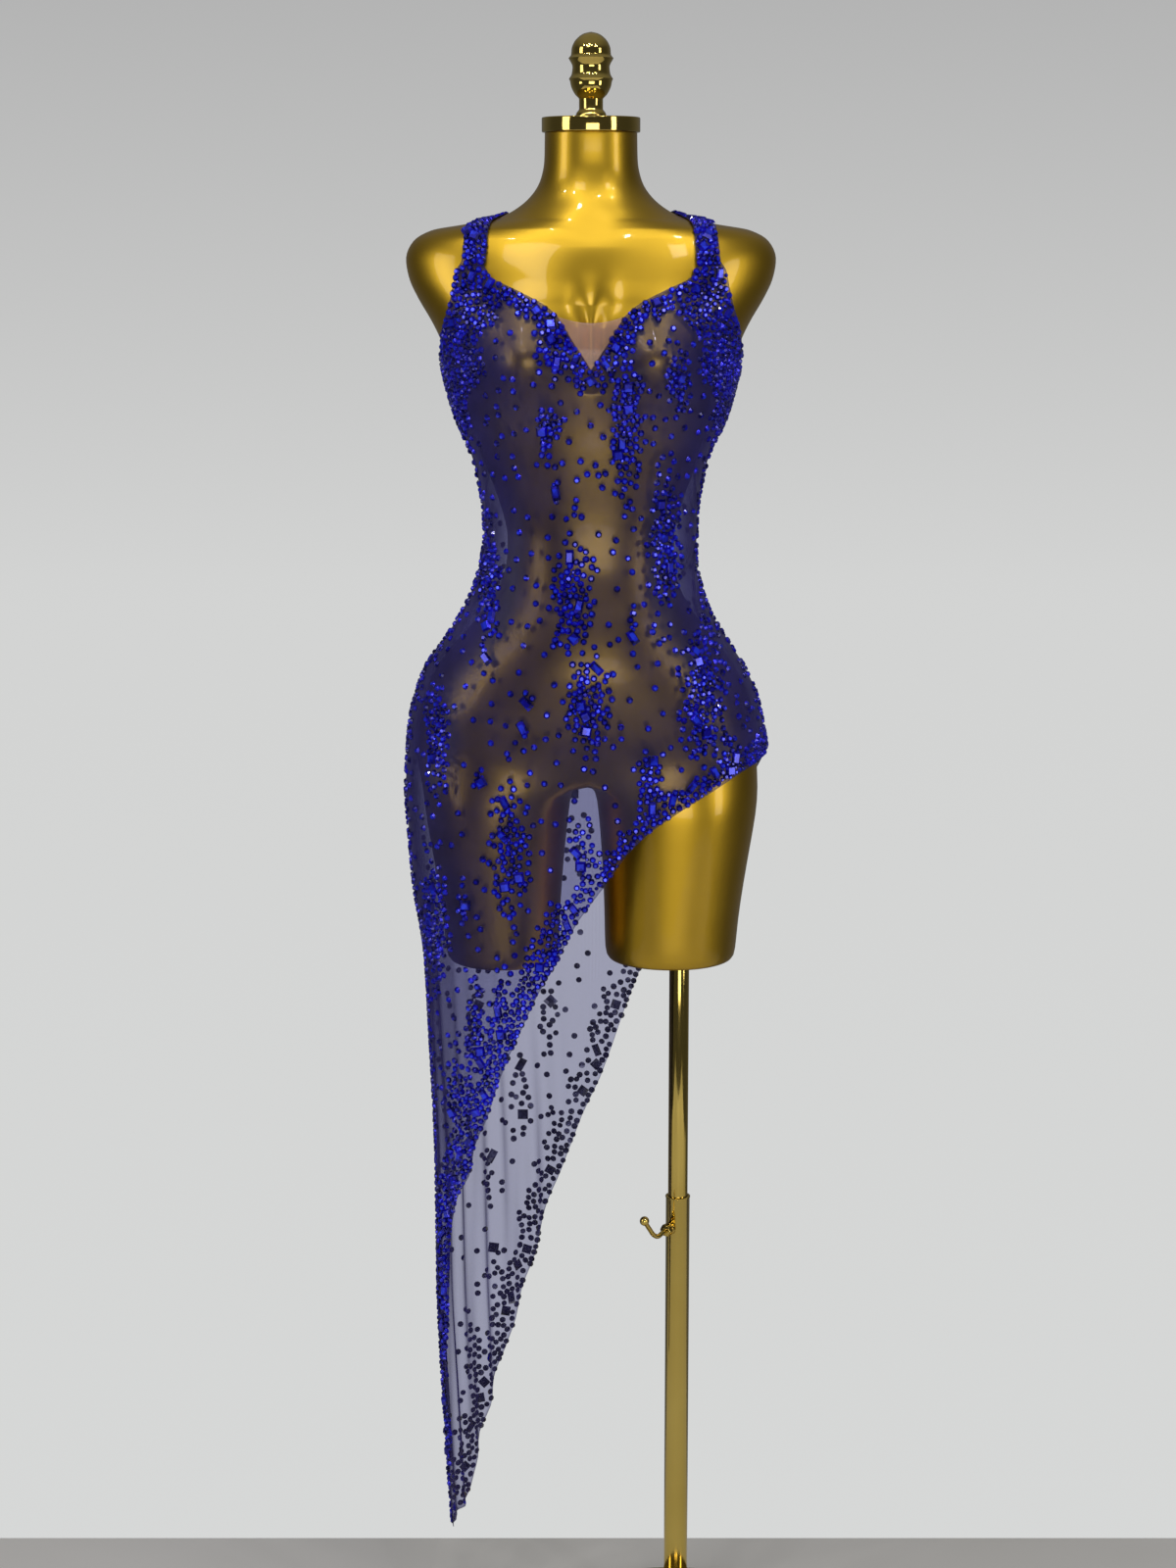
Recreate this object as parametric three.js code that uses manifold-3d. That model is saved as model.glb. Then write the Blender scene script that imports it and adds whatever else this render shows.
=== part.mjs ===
// Sheer stone-set sheath dress with a diagonal hem, standing on its limbless dress form.
// Millimetres, +Z up. The front faces -Y and the wearer's left is +X.
// The origin is on the floor, under the middle of the form.
import * as THREE from 'three';
import { mergeVertices } from 'three/addons/utils/BufferGeometryUtils.js';
import Module from 'manifold-3d';

const wasm = await Module();
wasm.setup();

// Driving dimensions
const RING_STEPS = 40;          // points round the torso
const CLOTH_WALL = 1.2;         // thickness of the power mesh
const SEAM_GAP = 0.3;           // between sewn pieces
const COLUMN_STEP = 8;          // degrees between the columns of a panel, at most
const CLOTH_ROWS = 24;          // down each panel
const ROUNDNESS = 2.25;         // superellipse power of the torso sections
const CROTCH = { front: -66, back: 78, z: 972, arch: 12, sideZ: 1000, x: -8 };
const THIGH = { innerSteps: 12, split: 132, roundness: 2.1, bottomZ: 787 };
const SOCKET = { radius: 10.8, depth: 130 };
const POLE = { x: 93, upperRadius: 10.4, upperBottom: 225, lowerRadius: 12.7, lowerBore: 10.8 };
const POLE_LIP_Z = 522;
const POLE_TOP_Z = THIGH.bottomZ + 120;
const BASE = { radius: 172, thickness: 9, edge: 2.5 };
const COLLAR = { radius: 26, height: 34, neckRadius: 18 };
const CLAMP = { z: 488, turn: 50, bossLength: 3, bossRadius: 6.5, nutRadius: 7, nutLength: 6 };
const HOOK_RADIUS = { rod: 2.5, ball: 5 };
const NECK_RING = { radius: 49, bottom: 1629.3, height: 14.5 };
const TURN_STEPS = 40;

// Body sections: z, half width on the long side (-X) and the short side (+X), depth to the front and the back
const TORSO = [
  { z: 1629, w: 46, short: 46, f: 45, b: 45 },
  { z: 1602, w: 46.5, short: 46.5, f: 45, b: 45 },
  { z: 1581, w: 51, short: 51, f: 48, b: 49 },
  { z: 1566, w: 61, short: 61, f: 53, b: 53 },
  { z: 1554, w: 76, short: 76, f: 59, b: 58 },
  { z: 1546, w: 93, short: 93, f: 63, b: 61 },
  { z: 1540, w: 125, short: 125, f: 66, b: 64 },
  { z: 1534, w: 160, short: 160, f: 69, b: 67 },
  { z: 1524, w: 178, short: 178, f: 73, b: 71 },
  { z: 1507, w: 186, short: 186, f: 79, b: 77 },
  { z: 1488, w: 183, short: 183, f: 85, b: 83 },
  { z: 1466, w: 173, short: 173, f: 91, b: 89 },
  { z: 1444, w: 160, short: 160, f: 94, b: 93 },
  { z: 1420, w: 149, short: 149, f: 94, b: 95 },
  { z: 1398, w: 143, short: 143, f: 92, b: 95 },
  { z: 1372, w: 138, short: 138, f: 89, b: 93 },
  { z: 1344, w: 128, short: 128, f: 86, b: 88 },
  { z: 1315, w: 114, short: 114, f: 83, b: 82 },
  { z: 1285, w: 101, short: 101, f: 79, b: 75 },
  { z: 1256, w: 91, short: 91, f: 75, b: 69 },
  { z: 1228, w: 85, short: 85, f: 73, b: 66 },
  { z: 1203, w: 86, short: 85, f: 74, b: 67 },
  { z: 1178, w: 93, short: 90, f: 79, b: 74 },
  { z: 1150, w: 112, short: 105, f: 86, b: 85 },
  { z: 1122, w: 136, short: 126, f: 91, b: 95 },
  { z: 1094, w: 158, short: 148, f: 94, b: 103 },
  { z: 1066, w: 172, short: 162, f: 93, b: 107 },
  { z: 1040, w: 180, short: 169, f: 89, b: 106 },
  { z: 1018, w: 183, short: 173, f: 82, b: 100 },
];

// Thigh sections: z, outer side, front, back, and the inner side on the pole's thigh and on the long side's
const THIGHS = [
  { z: 968, outer: 174, front: 80, back: 92, poleInner: 5, longInner: 20 },
  { z: 940, outer: 172, front: 79, back: 86, poleInner: 8, longInner: 23 },
  { z: 905, outer: 166, front: 77, back: 81, poleInner: 11, longInner: 27 },
  { z: 868, outer: 160, front: 75, back: 77, poleInner: 13, longInner: 30 },
  { z: 826, outer: 154, front: 73, back: 74, poleInner: 14.5, longInner: 33 },
  { z: 793, outer: 152, front: 72, back: 73, poleInner: 14.5, longInner: 33 },
  { z: 787, outer: 149, front: 69, back: 70, poleInner: 18, longInner: 36 },
];

// Soft rises on the torso: side 1 is the front, -1 the back
const RISES = [
  { side: 1, x: 72, z: 1404, across: 42, up: 40, height: 27 },
  { side: -1, x: 78, z: 1030, across: 58, up: 58, height: 20 },
  { side: 1, x: 0, z: 1110, across: 70, up: 55, height: 6 },
];

// Cloth sections below the armholes: z, half width on the long side (-X) and the short side (+X),
// front and back depth, and the superellipse power
const CLOTH = [
  { z: 1398, w: 148, short: 148, f: 112, b: 99, n: 2.25 },
  { z: 1372, w: 143, short: 143, f: 108, b: 97, n: 2.25 },
  { z: 1344, w: 134, short: 134, f: 98, b: 92, n: 2.25 },
  { z: 1315, w: 121, short: 120, f: 90, b: 87, n: 2.25 },
  { z: 1285, w: 113, short: 112, f: 85, b: 81, n: 2.25 },
  { z: 1256, w: 109, short: 108, f: 80, b: 77, n: 2.25 },
  { z: 1228, w: 108, short: 107, f: 78, b: 75, n: 2.25 },
  { z: 1203, w: 112, short: 107, f: 79, b: 76, n: 2.25 },
  { z: 1178, w: 119, short: 112, f: 83, b: 82, n: 2.25 },
  { z: 1150, w: 132, short: 122, f: 90, b: 93, n: 2.25 },
  { z: 1122, w: 150, short: 139, f: 97, b: 104, n: 2.25 },
  { z: 1094, w: 169, short: 157, f: 100, b: 113, n: 2.25 },
  { z: 1066, w: 180, short: 170, f: 99, b: 118, n: 2.25 },
  { z: 1040, w: 186, short: 176, f: 96, b: 119, n: 2.3 },
  { z: 1010, w: 189, short: 181, f: 92, b: 116, n: 2.5 },
  { z: 968, w: 191, short: 183, f: 90, b: 109, n: 2.8 },
  { z: 918, w: 188, short: 181, f: 88, b: 101, n: 2.8 },
  { z: 868, w: 184, short: 178, f: 86, b: 95, n: 2.8 },
  { z: 792, w: 173, short: 170, f: 83, b: 89, n: 2.8 },
  { z: 700, w: 169, short: 166, f: 80, b: 86, n: 2.6 },
  { z: 560, w: 164, short: 164, f: 76, b: 82, n: 2.4 },
  { z: 420, w: 163, short: 163, f: 72, b: 79, n: 2.3 },
  { z: 280, w: 157, short: 157, f: 66, b: 72, n: 2.25 },
  { z: 141, w: 150, short: 150, f: 60, b: 66, n: 2.25 },
];

// Hems, by the angle round the ring from the long side seam
const FRONT_HEM = [
  { angle: 0, z: 141 },
  { angle: 9, z: 250 },
  { angle: 16, z: 330 },
  { angle: 21.5, z: 402 },
  { angle: 24, z: 465 },
  { angle: 28.5, z: 504 },
  { angle: 43.5, z: 574 },
  { angle: 60, z: 664 },
  { angle: 75.5, z: 750 },
  { angle: 83, z: 794 },
  { angle: 88, z: 838 },
  { angle: 92, z: 885 },
  { angle: 97, z: 918 },
  { angle: 105, z: 944 },
  { angle: 122.5, z: 974 },
  { angle: 145, z: 996 },
  { angle: 180, z: 1012 },
];
const BACK_HEM = [
  { angle: 0, z: 141 },
  { angle: 26, z: 157 },
  { angle: 36, z: 200 },
  { angle: 50, z: 287 },
  { angle: 64, z: 373 },
  { angle: 76, z: 480 },
  { angle: 87, z: 572 },
  { angle: 94.5, z: 660 },
  { angle: 102, z: 748 },
  { angle: 111, z: 812 },
  { angle: 130, z: 898 },
  { angle: 155, z: 968 },
  { angle: 180, z: 1012 },
];

// Top edges, by distance from the centre line as a share of the section's half width
const FRONT_TOP = [
  { share: 0, z: 1400 },
  { share: 0.10, z: 1424 },
  { share: 0.22, z: 1457 },
  { share: 0.40, z: 1477 },
  { share: 0.52, z: 1489 },
  { share: 0.55, z: 1500 },
  { share: 0.68, z: 1500 },
  { share: 0.73, z: 1481 },
  { share: 0.80, z: 1461 },
  { share: 0.90, z: 1440 },
  { share: 0.97, z: 1418 },
  { share: 1, z: 1398 },
];
const BACK_TOP = [
  { share: 0, z: 1405 },
  { share: 0.15, z: 1410 },
  { share: 0.30, z: 1432 },
  { share: 0.40, z: 1465 },
  { share: 0.43, z: 1480 },
  { share: 0.56, z: 1480 },
  { share: 0.63, z: 1462 },
  { share: 0.76, z: 1438 },
  { share: 0.90, z: 1415 },
  { share: 1, z: 1398 },
];

// Nude insert: its V and top edge
const INSERT = { topShare: 0.205, topZ: 1453, dip: 8, columns: 12, rows: 5, seam: 1.6, least: 1.5 };

// Strap edges from the front seam (along 0) over the shoulder to the back seam (along 1)
const STRAP = [
  { along: 0, inner: 103, outer: 127 },
  { along: 0.15, inner: 101, outer: 124 },
  { along: 0.30, inner: 96, outer: 119 },
  { along: 0.45, inner: 86, outer: 108 },
  { along: 0.60, inner: 80, outer: 102 },
  { along: 0.80, inner: 79, outer: 102 },
  { along: 1, inner: 80, outer: 104 },
];
const STRAP_SEAT = { z: 1462, lift: 1.1, rows: 22, columns: 4, frontZ: 1500, backZ: 1480 };
const STRAP_SHARES = { frontInner: 0.55, frontOuter: 0.68, backInner: 0.43, backOuter: 0.56 };

// Reads a table by a smooth curve through its rows
function read(table, key, at, column) {
  const rising = table[0][key] < table[table.length - 1][key];
  const rows = rising ? table : [...table].reverse();
  const last = rows.length - 1;
  if (at <= rows[0][key]) return rows[0][column];
  if (at >= rows[last][key]) return rows[last][column];
  let i = 0;
  while (rows[i + 1][key] < at) i += 1;
  const slope = (j) => (rows[j + 1][column] - rows[j][column]) / (rows[j + 1][key] - rows[j][key]);
  const tangent = (j) => {
    if (j === 0) return slope(0);
    if (j === last) return slope(last - 1);
    const before = slope(j - 1);
    const after = slope(j);
    return before * after <= 0 ? 0 : (2 * before * after) / (before + after);
  };
  const span = rows[i + 1][key] - rows[i][key];
  const s = (at - rows[i][key]) / span;
  const a = rows[i][column];
  const b = rows[i + 1][column];
  return (2 * s ** 3 - 3 * s ** 2 + 1) * a + (s ** 3 - 2 * s ** 2 + s) * span * tangent(i)
    + (-2 * s ** 3 + 3 * s ** 2) * b + (s ** 3 - s ** 2) * span * tangent(i + 1);
}

const signedPower = (value, power) => Math.sign(value) * Math.abs(value) ** power;

// Height of the soft rises at a place on the front (side 1) or back (side -1)
function rise(side, x, z, share) {
  const fade = 1 - Math.abs(share) ** 6;
  let sum = 0;
  for (const bump of RISES) {
    if (bump.side !== side) continue;
    const across = (Math.abs(x) - bump.x) / bump.across;
    const up = (z - bump.z) / bump.up;
    sum += bump.height * Math.exp(-across * across - up * up) * fade;
  }
  return sum;
}

// A point of a section: angle 0 is the centre front and 90 degrees the +X side
function sectionPoint(table, angle, z, fill) {
  const cloth = table === CLOTH;
  const w = read(table, 'z', z, Math.sin(angle) > 0 ? 'short' : 'w');
  const power = 2 / (cloth ? read(table, 'z', z, 'n') : ROUNDNESS);
  const s = signedPower(Math.sin(angle), power);
  const c = signedPower(Math.cos(angle), power);
  const side = c >= 0 ? 1 : -1;
  const depth = read(table, 'z', z, side > 0 ? 'f' : 'b');
  const x = w * s;
  return new THREE.Vector3(x, -c * depth - side * fill(side, x, z, s), z);
}

const formPoint = (angle, z) => sectionPoint(TORSO, angle, z, rise);

// The cloth spans the valley between the cups and the small of the waist
function clothRise(side, x, z, share) {
  const fade = 1 - Math.abs(share) ** 6;
  if (side > 0) {
    const up = (z - 1404) / 38;
    const across = Math.max(0, Math.abs(x) - 70) / 42;
    const valley = Math.max(0, 70 - Math.abs(x)) / 70;
    return 12 * Math.exp(-up * up - across * across) * (1 - 0.75 * valley) * fade;
  }
  const up = (z - 1030) / 58;
  const across = Math.max(0, Math.abs(x) - 78) / 58;
  return 10 * Math.exp(-up * up - across * across) * fade;
}

const CLOTH_CLEARANCE = 4;
const CUP_EASE = { z: 1408, up: 42, extra: 3.5 };
const BLEND_TOP = 1420;
const BLEND_BOTTOM = 1398;

// Above the armholes the cloth follows the chest, and below them its own sections
function clothPoint(angle, z) {
  const onChest = () => {
    const p = formPoint(angle, z);
    const length = Math.hypot(p.x, p.y);
    const ease = p.y < 0 ? CUP_EASE.extra * Math.exp(-(((z - CUP_EASE.z) / CUP_EASE.up) ** 2)) : 0;
    const lift = (CLOTH_CLEARANCE + ease) / length;
    return new THREE.Vector3(p.x * (1 + lift), p.y * (1 + lift), z);
  };
  if (z >= BLEND_TOP) return onChest();
  const own = sectionPoint(CLOTH, angle, z, clothRise);
  if (z < CROTCH.sideZ) return own;
  const chest = onChest();
  own.x = Math.max(Math.abs(own.x), Math.abs(chest.x)) * Math.sign(own.x);
  own.y = Math.max(Math.abs(own.y), Math.abs(chest.y)) * Math.sign(own.y);
  if (z > BLEND_BOTTOM) own.lerp(chest, (z - BLEND_BOTTOM) / (BLEND_TOP - BLEND_BOTTOM));
  return own;
}

function meshOf(name, points, faces, material) {
  const geometry = new THREE.BufferGeometry();
  const numbers = points.flatMap((p) => [p.x, p.y, p.z]);
  geometry.setAttribute('position', new THREE.Float32BufferAttribute(numbers, 3));
  geometry.setIndex(faces.flat());
  return named(name, geometry, material);
}

function named(name, geometry, material) {
  const flat = geometry.index ? geometry.toNonIndexed() : geometry;
  flat.deleteAttribute('normal');
  flat.deleteAttribute('uv');
  const mesh = new THREE.Mesh(mergeVertices(flat, 1e-4), material);
  mesh.geometry.computeVertexNormals();
  mesh.name = name;
  return mesh;
}

// Closed wall from a grid of points: the grid is the inside face and the outside lies along its normals
function wallMesh(name, grid, thickness, material, outward) {
  const rows = grid.length;
  const columns = grid[0].length;
  const at = (i, j) => grid[Math.min(rows - 1, Math.max(0, i))][Math.min(columns - 1, Math.max(0, j))];
  const points = [];
  for (let i = 0; i < rows; i += 1) {
    for (let j = 0; j < columns; j += 1) points.push(at(i, j));
  }
  for (let i = 0; i < rows; i += 1) {
    for (let j = 0; j < columns; j += 1) {
      const down = at(i + 1, j).clone().sub(at(i - 1, j));
      const across = at(i, j + 1).clone().sub(at(i, j - 1));
      const normal = down.cross(across).normalize();
      if (normal.dot(outward(at(i, j))) < 0) normal.negate();
      points.push(at(i, j).clone().addScaledVector(normal, thickness));
    }
  }
  const inner = (i, j) => i * columns + j;
  const outer = (i, j) => rows * columns + i * columns + j;
  const faces = [];
  const quad = (a, b, c, d) => faces.push([a, b, c], [a, c, d]);
  for (let i = 0; i < rows - 1; i += 1) {
    for (let j = 0; j < columns - 1; j += 1) {
      quad(inner(i, j), inner(i, j + 1), inner(i + 1, j + 1), inner(i + 1, j));
      quad(outer(i, j), outer(i + 1, j), outer(i + 1, j + 1), outer(i, j + 1));
    }
  }
  for (let j = 0; j < columns - 1; j += 1) {
    quad(inner(0, j), outer(0, j), outer(0, j + 1), inner(0, j + 1));
    quad(inner(rows - 1, j + 1), outer(rows - 1, j + 1), outer(rows - 1, j), inner(rows - 1, j));
  }
  for (let i = 0; i < rows - 1; i += 1) {
    quad(inner(i + 1, 0), outer(i + 1, 0), outer(i, 0), inner(i, 0));
    quad(inner(i, columns - 1), outer(i, columns - 1), outer(i + 1, columns - 1), inner(i + 1, columns - 1));
  }
  return outwardMesh(name, points, faces, material);
}

// Turns all the faces over when the closed shell comes out inside out
function outwardMesh(name, points, faces, material) {
  let volume = 0;
  for (const [a, b, c] of faces) volume += points[a].dot(points[b].clone().cross(points[c]));
  const faced = volume < 0 ? faces.map(([a, b, c]) => [a, c, b]) : faces;
  return meshOf(name, points, faced, material);
}

function toManifold(geometry) {
  const flat = geometry.index ? geometry.toNonIndexed() : geometry.clone();
  flat.deleteAttribute('normal');
  flat.deleteAttribute('uv');
  const merged = mergeVertices(flat, 1e-4);
  return new wasm.Manifold(new wasm.Mesh({
    numProp: 3,
    vertProperties: new Float32Array(merged.attributes.position.array),
    triVerts: new Uint32Array(merged.index.array),
  }));
}

function fromManifold(name, solid, material) {
  const mesh = solid.getMesh();
  const geometry = new THREE.BufferGeometry();
  geometry.setAttribute('position', new THREE.BufferAttribute(new Float32Array(mesh.vertProperties), 3));
  geometry.setIndex([...mesh.triVerts]);
  return named(name, geometry, material);
}

// Solid of revolution about +Z through a point
function turned(profile, x, y, z, steps = TURN_STEPS) {
  const geometry = new THREE.LatheGeometry(profile.map(([r, h]) => new THREE.Vector2(r, h)), steps);
  geometry.rotateX(Math.PI / 2);
  geometry.translate(x, y, z);
  return geometry;
}

// Finishes
const finish = (color, roughness, metalness) =>
  new THREE.MeshStandardMaterial({ color, roughness, metalness });
const FORM_GOLD = finish(0xb08a2c, 0.38, 0.85);
const BRIGHT_GOLD = finish(0xc9a24a, 0.12, 1);
const NAVY_MESH = finish(0x2a2a78, 0.6, 0);
const NUDE_MESH = finish(0xd0a184, 0.6, 0);

// Dress form: torso rings, then two thighs that share the curve between the legs
function formMesh() {
  const points = [];
  const faces = [];
  const add = (p) => points.push(p) - 1;
  const angleOf = (k) => (2 * Math.PI * k) / RING_STEPS;
  const ringAt = (z) => Array.from({ length: RING_STEPS }, (_, k) => add(formPoint(angleOf(k), z)));
  const rings = TORSO.map((row) => ringAt(row.z));
  const lastRow = TORSO[TORSO.length - 1];
  const half = RING_STEPS / 2;
  const lowRing = Array.from({ length: RING_STEPS }, (_, k) => {
    const p = formPoint(angleOf(k), lastRow.z);
    const middle = (1 - Math.abs(Math.sin(angleOf(k)))) ** 2;
    const depth = p.y < 0 ? CROTCH.front : CROTCH.back;
    const z = CROTCH.sideZ + (CROTCH.z + CROTCH.arch - CROTCH.sideZ) * middle;
    return add(new THREE.Vector3(p.x * 0.99, p.y + (depth - p.y) * middle, z));
  });
  rings.push(lowRing);
  const strip = (upper, lower) => {
    const n = upper.length;
    for (let k = 0; k < n; k += 1) {
      const next = (k + 1) % n;
      faces.push([upper[k], lower[k], lower[next]], [upper[k], lower[next], upper[next]]);
    }
  };
  for (let i = 0; i < rings.length - 1; i += 1) strip(rings[i], rings[i + 1]);
  const top = add(new THREE.Vector3(0, 0, TORSO[0].z));
  for (let k = 0; k < RING_STEPS; k += 1) faces.push([top, rings[0][k], rings[0][(k + 1) % RING_STEPS]]);
  const under = [];
  for (let m = 1; m < THIGH.innerSteps; m += 1) {
    const s = m / THIGH.innerSteps;
    const y = CROTCH.front + (CROTCH.back - CROTCH.front) * s;
    const middle = Math.sin(Math.PI * s);
    under.push(add(new THREE.Vector3(CROTCH.x * middle, y, CROTCH.z + CROTCH.arch - CROTCH.arch * middle)));
  }
  for (const side of [1, -1]) {
    const outerLoop = [];
    for (let k = 0; k <= half; k += 1) outerLoop.push(lowRing[(side * k + RING_STEPS) % RING_STEPS]);
    let loop = [...outerLoop, ...[...under].reverse()];
    const steps = loop.length;
    const turn = (lower) => {
      if (side > 0) strip(loop, lower);
      else strip([...loop].reverse(), [...lower].reverse());
      loop = lower;
    };
    for (const row of THIGHS) {
      const inner = side > 0 ? row.poleInner : row.longInner;
      const cx = (row.outer + inner) / 2;
      const hw = (row.outer - inner) / 2;
      const lower = [];
      for (let k = 0; k < steps; k += 1) {
        const outside = k <= half;
        const share = outside ? k / half : (k - half) / THIGH.innerSteps;
        const degrees = outside ? -THIGH.split + 2 * THIGH.split * share
          : THIGH.split + 2 * (180 - THIGH.split) * share;
        const a = THREE.MathUtils.degToRad(degrees);
        const c = signedPower(Math.cos(a), 2 / THIGH.roundness);
        const s = signedPower(Math.sin(a), 2 / THIGH.roundness);
        lower.push(add(new THREE.Vector3(side * (cx + hw * c), s * (s < 0 ? row.front : row.back), row.z)));
      }
      turn(lower);
    }
    const end = THIGHS[THIGHS.length - 1];
    const middleX = (end.outer + (side > 0 ? end.poleInner : end.longInner)) / 2;
    const bottom = add(new THREE.Vector3(side * middleX, 0, THIGH.bottomZ));
    for (let k = 0; k < steps; k += 1) {
      const next = (k + 1) % steps;
      faces.push(side > 0 ? [bottom, loop[next], loop[k]] : [bottom, loop[k], loop[next]]);
    }
  }
  const body = outwardMesh('form', points, faces, FORM_GOLD);
  const bore = turned([[0, -2], [SOCKET.radius, -2], [SOCKET.radius, SOCKET.depth], [0, SOCKET.depth]],
    POLE.x, 0, THIGH.bottomZ, 32);
  return fromManifold('form', toManifold(body.geometry).subtract(toManifold(bore)), FORM_GOLD);
}

const angleOfShare = (share) => Math.asin(Math.min(1, share) ** (ROUNDNESS / 2));

// Angles of a panel's columns from seam to seam: one at each row of its top edge, with more in wide stretches
function columnAngles(table) {
  const widest = THREE.MathUtils.degToRad(COLUMN_STEP);
  const corners = table.map((row) => angleOfShare(row.share));
  const right = [];
  for (let k = 0; k < corners.length - 1; k += 1) {
    const parts = Math.ceil((corners[k + 1] - corners[k]) / widest);
    for (let n = 0; n < parts; n += 1) right.push(corners[k] + ((corners[k + 1] - corners[k]) * n) / parts);
  }
  right.push(Math.PI / 2);
  return [...right.slice(1).reverse().map((angle) => -angle), ...right];
}

const SIDE_SEAM_TURN = 0.08;    // degrees that each panel stops short of the side seam

// One panel of the dress, front (side 1) or back (side -1)
function panelGrid(side) {
  const topTable = side > 0 ? FRONT_TOP : BACK_TOP;
  const hemTable = side > 0 ? FRONT_HEM : BACK_HEM;
  const shareOf = (angle) => Math.abs(signedPower(Math.sin(angle), 2 / ROUNDNESS));
  const limit = Math.PI / 2 - THREE.MathUtils.degToRad(SIDE_SEAM_TURN);
  const columns = columnAngles(topTable).map((angle) => Math.min(limit, Math.max(-limit, angle)));
  const grid = [];
  for (let i = 0; i <= CLOTH_ROWS; i += 1) {
    grid.push(columns.map((angle) => {
      const topZ = read(topTable, 'share', shareOf(angle), 'z');
      const fromLongSide = THREE.MathUtils.radToDeg(angle) + 90;
      const hemZ = read(hemTable, 'angle', fromLongSide, 'z');
      const z = topZ + (hemZ - topZ) * (i / CLOTH_ROWS);
      const ringAngle = side > 0 ? angle : Math.PI - angle;
      return clothPoint(ringAngle, z);
    }));
  }
  return grid;
}

const fromAxis = (p) => new THREE.Vector3(p.x, p.y, 0);

// Nude insert in the V of the front neckline
function insertGrid() {
  const reach = INSERT.topShare;
  const vEdge = (share) => {
    const next = FRONT_TOP.findIndex((row) => row.share > share);
    const a = FRONT_TOP[next - 1];
    const b = FRONT_TOP[next];
    return a.z + ((b.z - a.z) * (share - a.share)) / (b.share - a.share);
  };
  const grid = [];
  for (let i = 0; i <= INSERT.rows; i += 1) {
    const row = [];
    for (let j = 0; j <= INSERT.columns; j += 1) {
      const across = -1 + (2 * j) / INSERT.columns;
      const share = reach * Math.abs(across);
      const low = vEdge(share) + INSERT.seam;
      const high = Math.max(low + INSERT.least, INSERT.topZ - INSERT.dip * (1 - across * across));
      const angle = Math.sign(across) * angleOfShare(share);
      row.push(clothPoint(angle, high + ((low - high) * i) / INSERT.rows));
    }
    grid.push(row);
  }
  return grid;
}

const formHolds = (x, y, z) => {
  const w = read(TORSO, 'z', z, 'w');
  if (Math.abs(x) >= w) return false;
  const side = y <= 0 ? 1 : -1;
  const share = Math.abs(x) / w;
  const depth = read(TORSO, 'z', z, side > 0 ? 'f' : 'b') * (1 - share ** ROUNDNESS) ** (1 / ROUNDNESS);
  return Math.abs(y) < depth + rise(side, x, z, share);
};

// Where a ray from the seat axis leaves the form, at a turn from straight up
function shoulderPoint(x, turn, lift) {
  const a = THREE.MathUtils.degToRad(turn);
  let low = 5;
  let high = 160;
  for (let n = 0; n < 40; n += 1) {
    const r = (low + high) / 2;
    const z = STRAP_SEAT.z + r * Math.cos(a);
    if (z < TORSO[0].z && formHolds(x, r * Math.sin(a), z)) low = r;
    else high = r;
  }
  const r = low + lift;
  return new THREE.Vector3(x, r * Math.sin(a), STRAP_SEAT.z + r * Math.cos(a));
}

function strapGrid(side) {
  const rows = STRAP_SEAT.rows;
  const turnOf = (p) => THREE.MathUtils.radToDeg(Math.atan2(p.y, p.z - STRAP_SEAT.z));
  const mix = (a, b, t) => a + (b - a) * t;
  const grid = Array.from({ length: rows + 1 }, () => []);
  for (let j = 0; j <= STRAP_SEAT.columns; j += 1) {
    const across = j / STRAP_SEAT.columns;
    const frontAngle = angleOfShare(mix(STRAP_SHARES.frontInner, STRAP_SHARES.frontOuter, across));
    const backAngle = angleOfShare(mix(STRAP_SHARES.backInner, STRAP_SHARES.backOuter, across));
    const front = clothPoint(frontAngle, STRAP_SEAT.frontZ + SEAM_GAP);
    const back = clothPoint(Math.PI - backAngle, STRAP_SEAT.backZ + SEAM_GAP);
    for (let i = 0; i <= rows; i += 1) {
      const along = i / rows;
      const x = mix(read(STRAP, 'along', along, 'inner'), read(STRAP, 'along', along, 'outer'), across);
      const lift = mix(STRAP_SEAT.lift, CLOTH_CLEARANCE, Math.abs(2 * along - 1) ** 3);
      let p = shoulderPoint(x, mix(turnOf(front), turnOf(back), along), lift);
      if (i === 0) p = front;
      if (i === rows) p = back;
      grid[i].push(new THREE.Vector3(side * p.x, p.y, p.z));
    }
  }
  return grid;
}

const fromSeat = (p) => new THREE.Vector3(0, p.y, p.z - STRAP_SEAT.z);

// Turned knob on top of the neck ring
const FINIAL = [
  { h: 0, r: 15.1 },
  { h: 3, r: 15.1 },
  { h: 7.5, r: 11.9 },
  { h: 17.8, r: 11.9 },
  { h: 22, r: 16 },
  { h: 29.3, r: 19.7 },
  { h: 35, r: 21 },
  { h: 36.9, r: 21.9 },
  { h: 41.6, r: 19.2 },
  { h: 48.1, r: 18.4 },
  { h: 56.8, r: 22.3 },
  { h: 60, r: 19.8 },
  { h: 66, r: 19.2 },
  { h: 72, r: 16.8 },
  { h: 77, r: 12.4 },
  { h: 80.4, r: 7 },
  { h: 81.6, r: 3 },
];

// Route of the hook's rod, out from the nut's middle
const HOOK = [
  { out: 0, up: 0 },
  { out: 8, up: -1.5 },
  { out: 14, up: -3 },
  { out: 21, up: 0 },
  { out: 29, up: 9 },
  { out: 36, up: 18 },
];

// Turns a piece made along -X about the pole, to the side that the clamp faces
function facingClamp(geometry) {
  geometry.rotateZ(THREE.MathUtils.degToRad(CLAMP.turn));
  geometry.translate(POLE.x, 0, CLAMP.z);
  return geometry;
}

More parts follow.
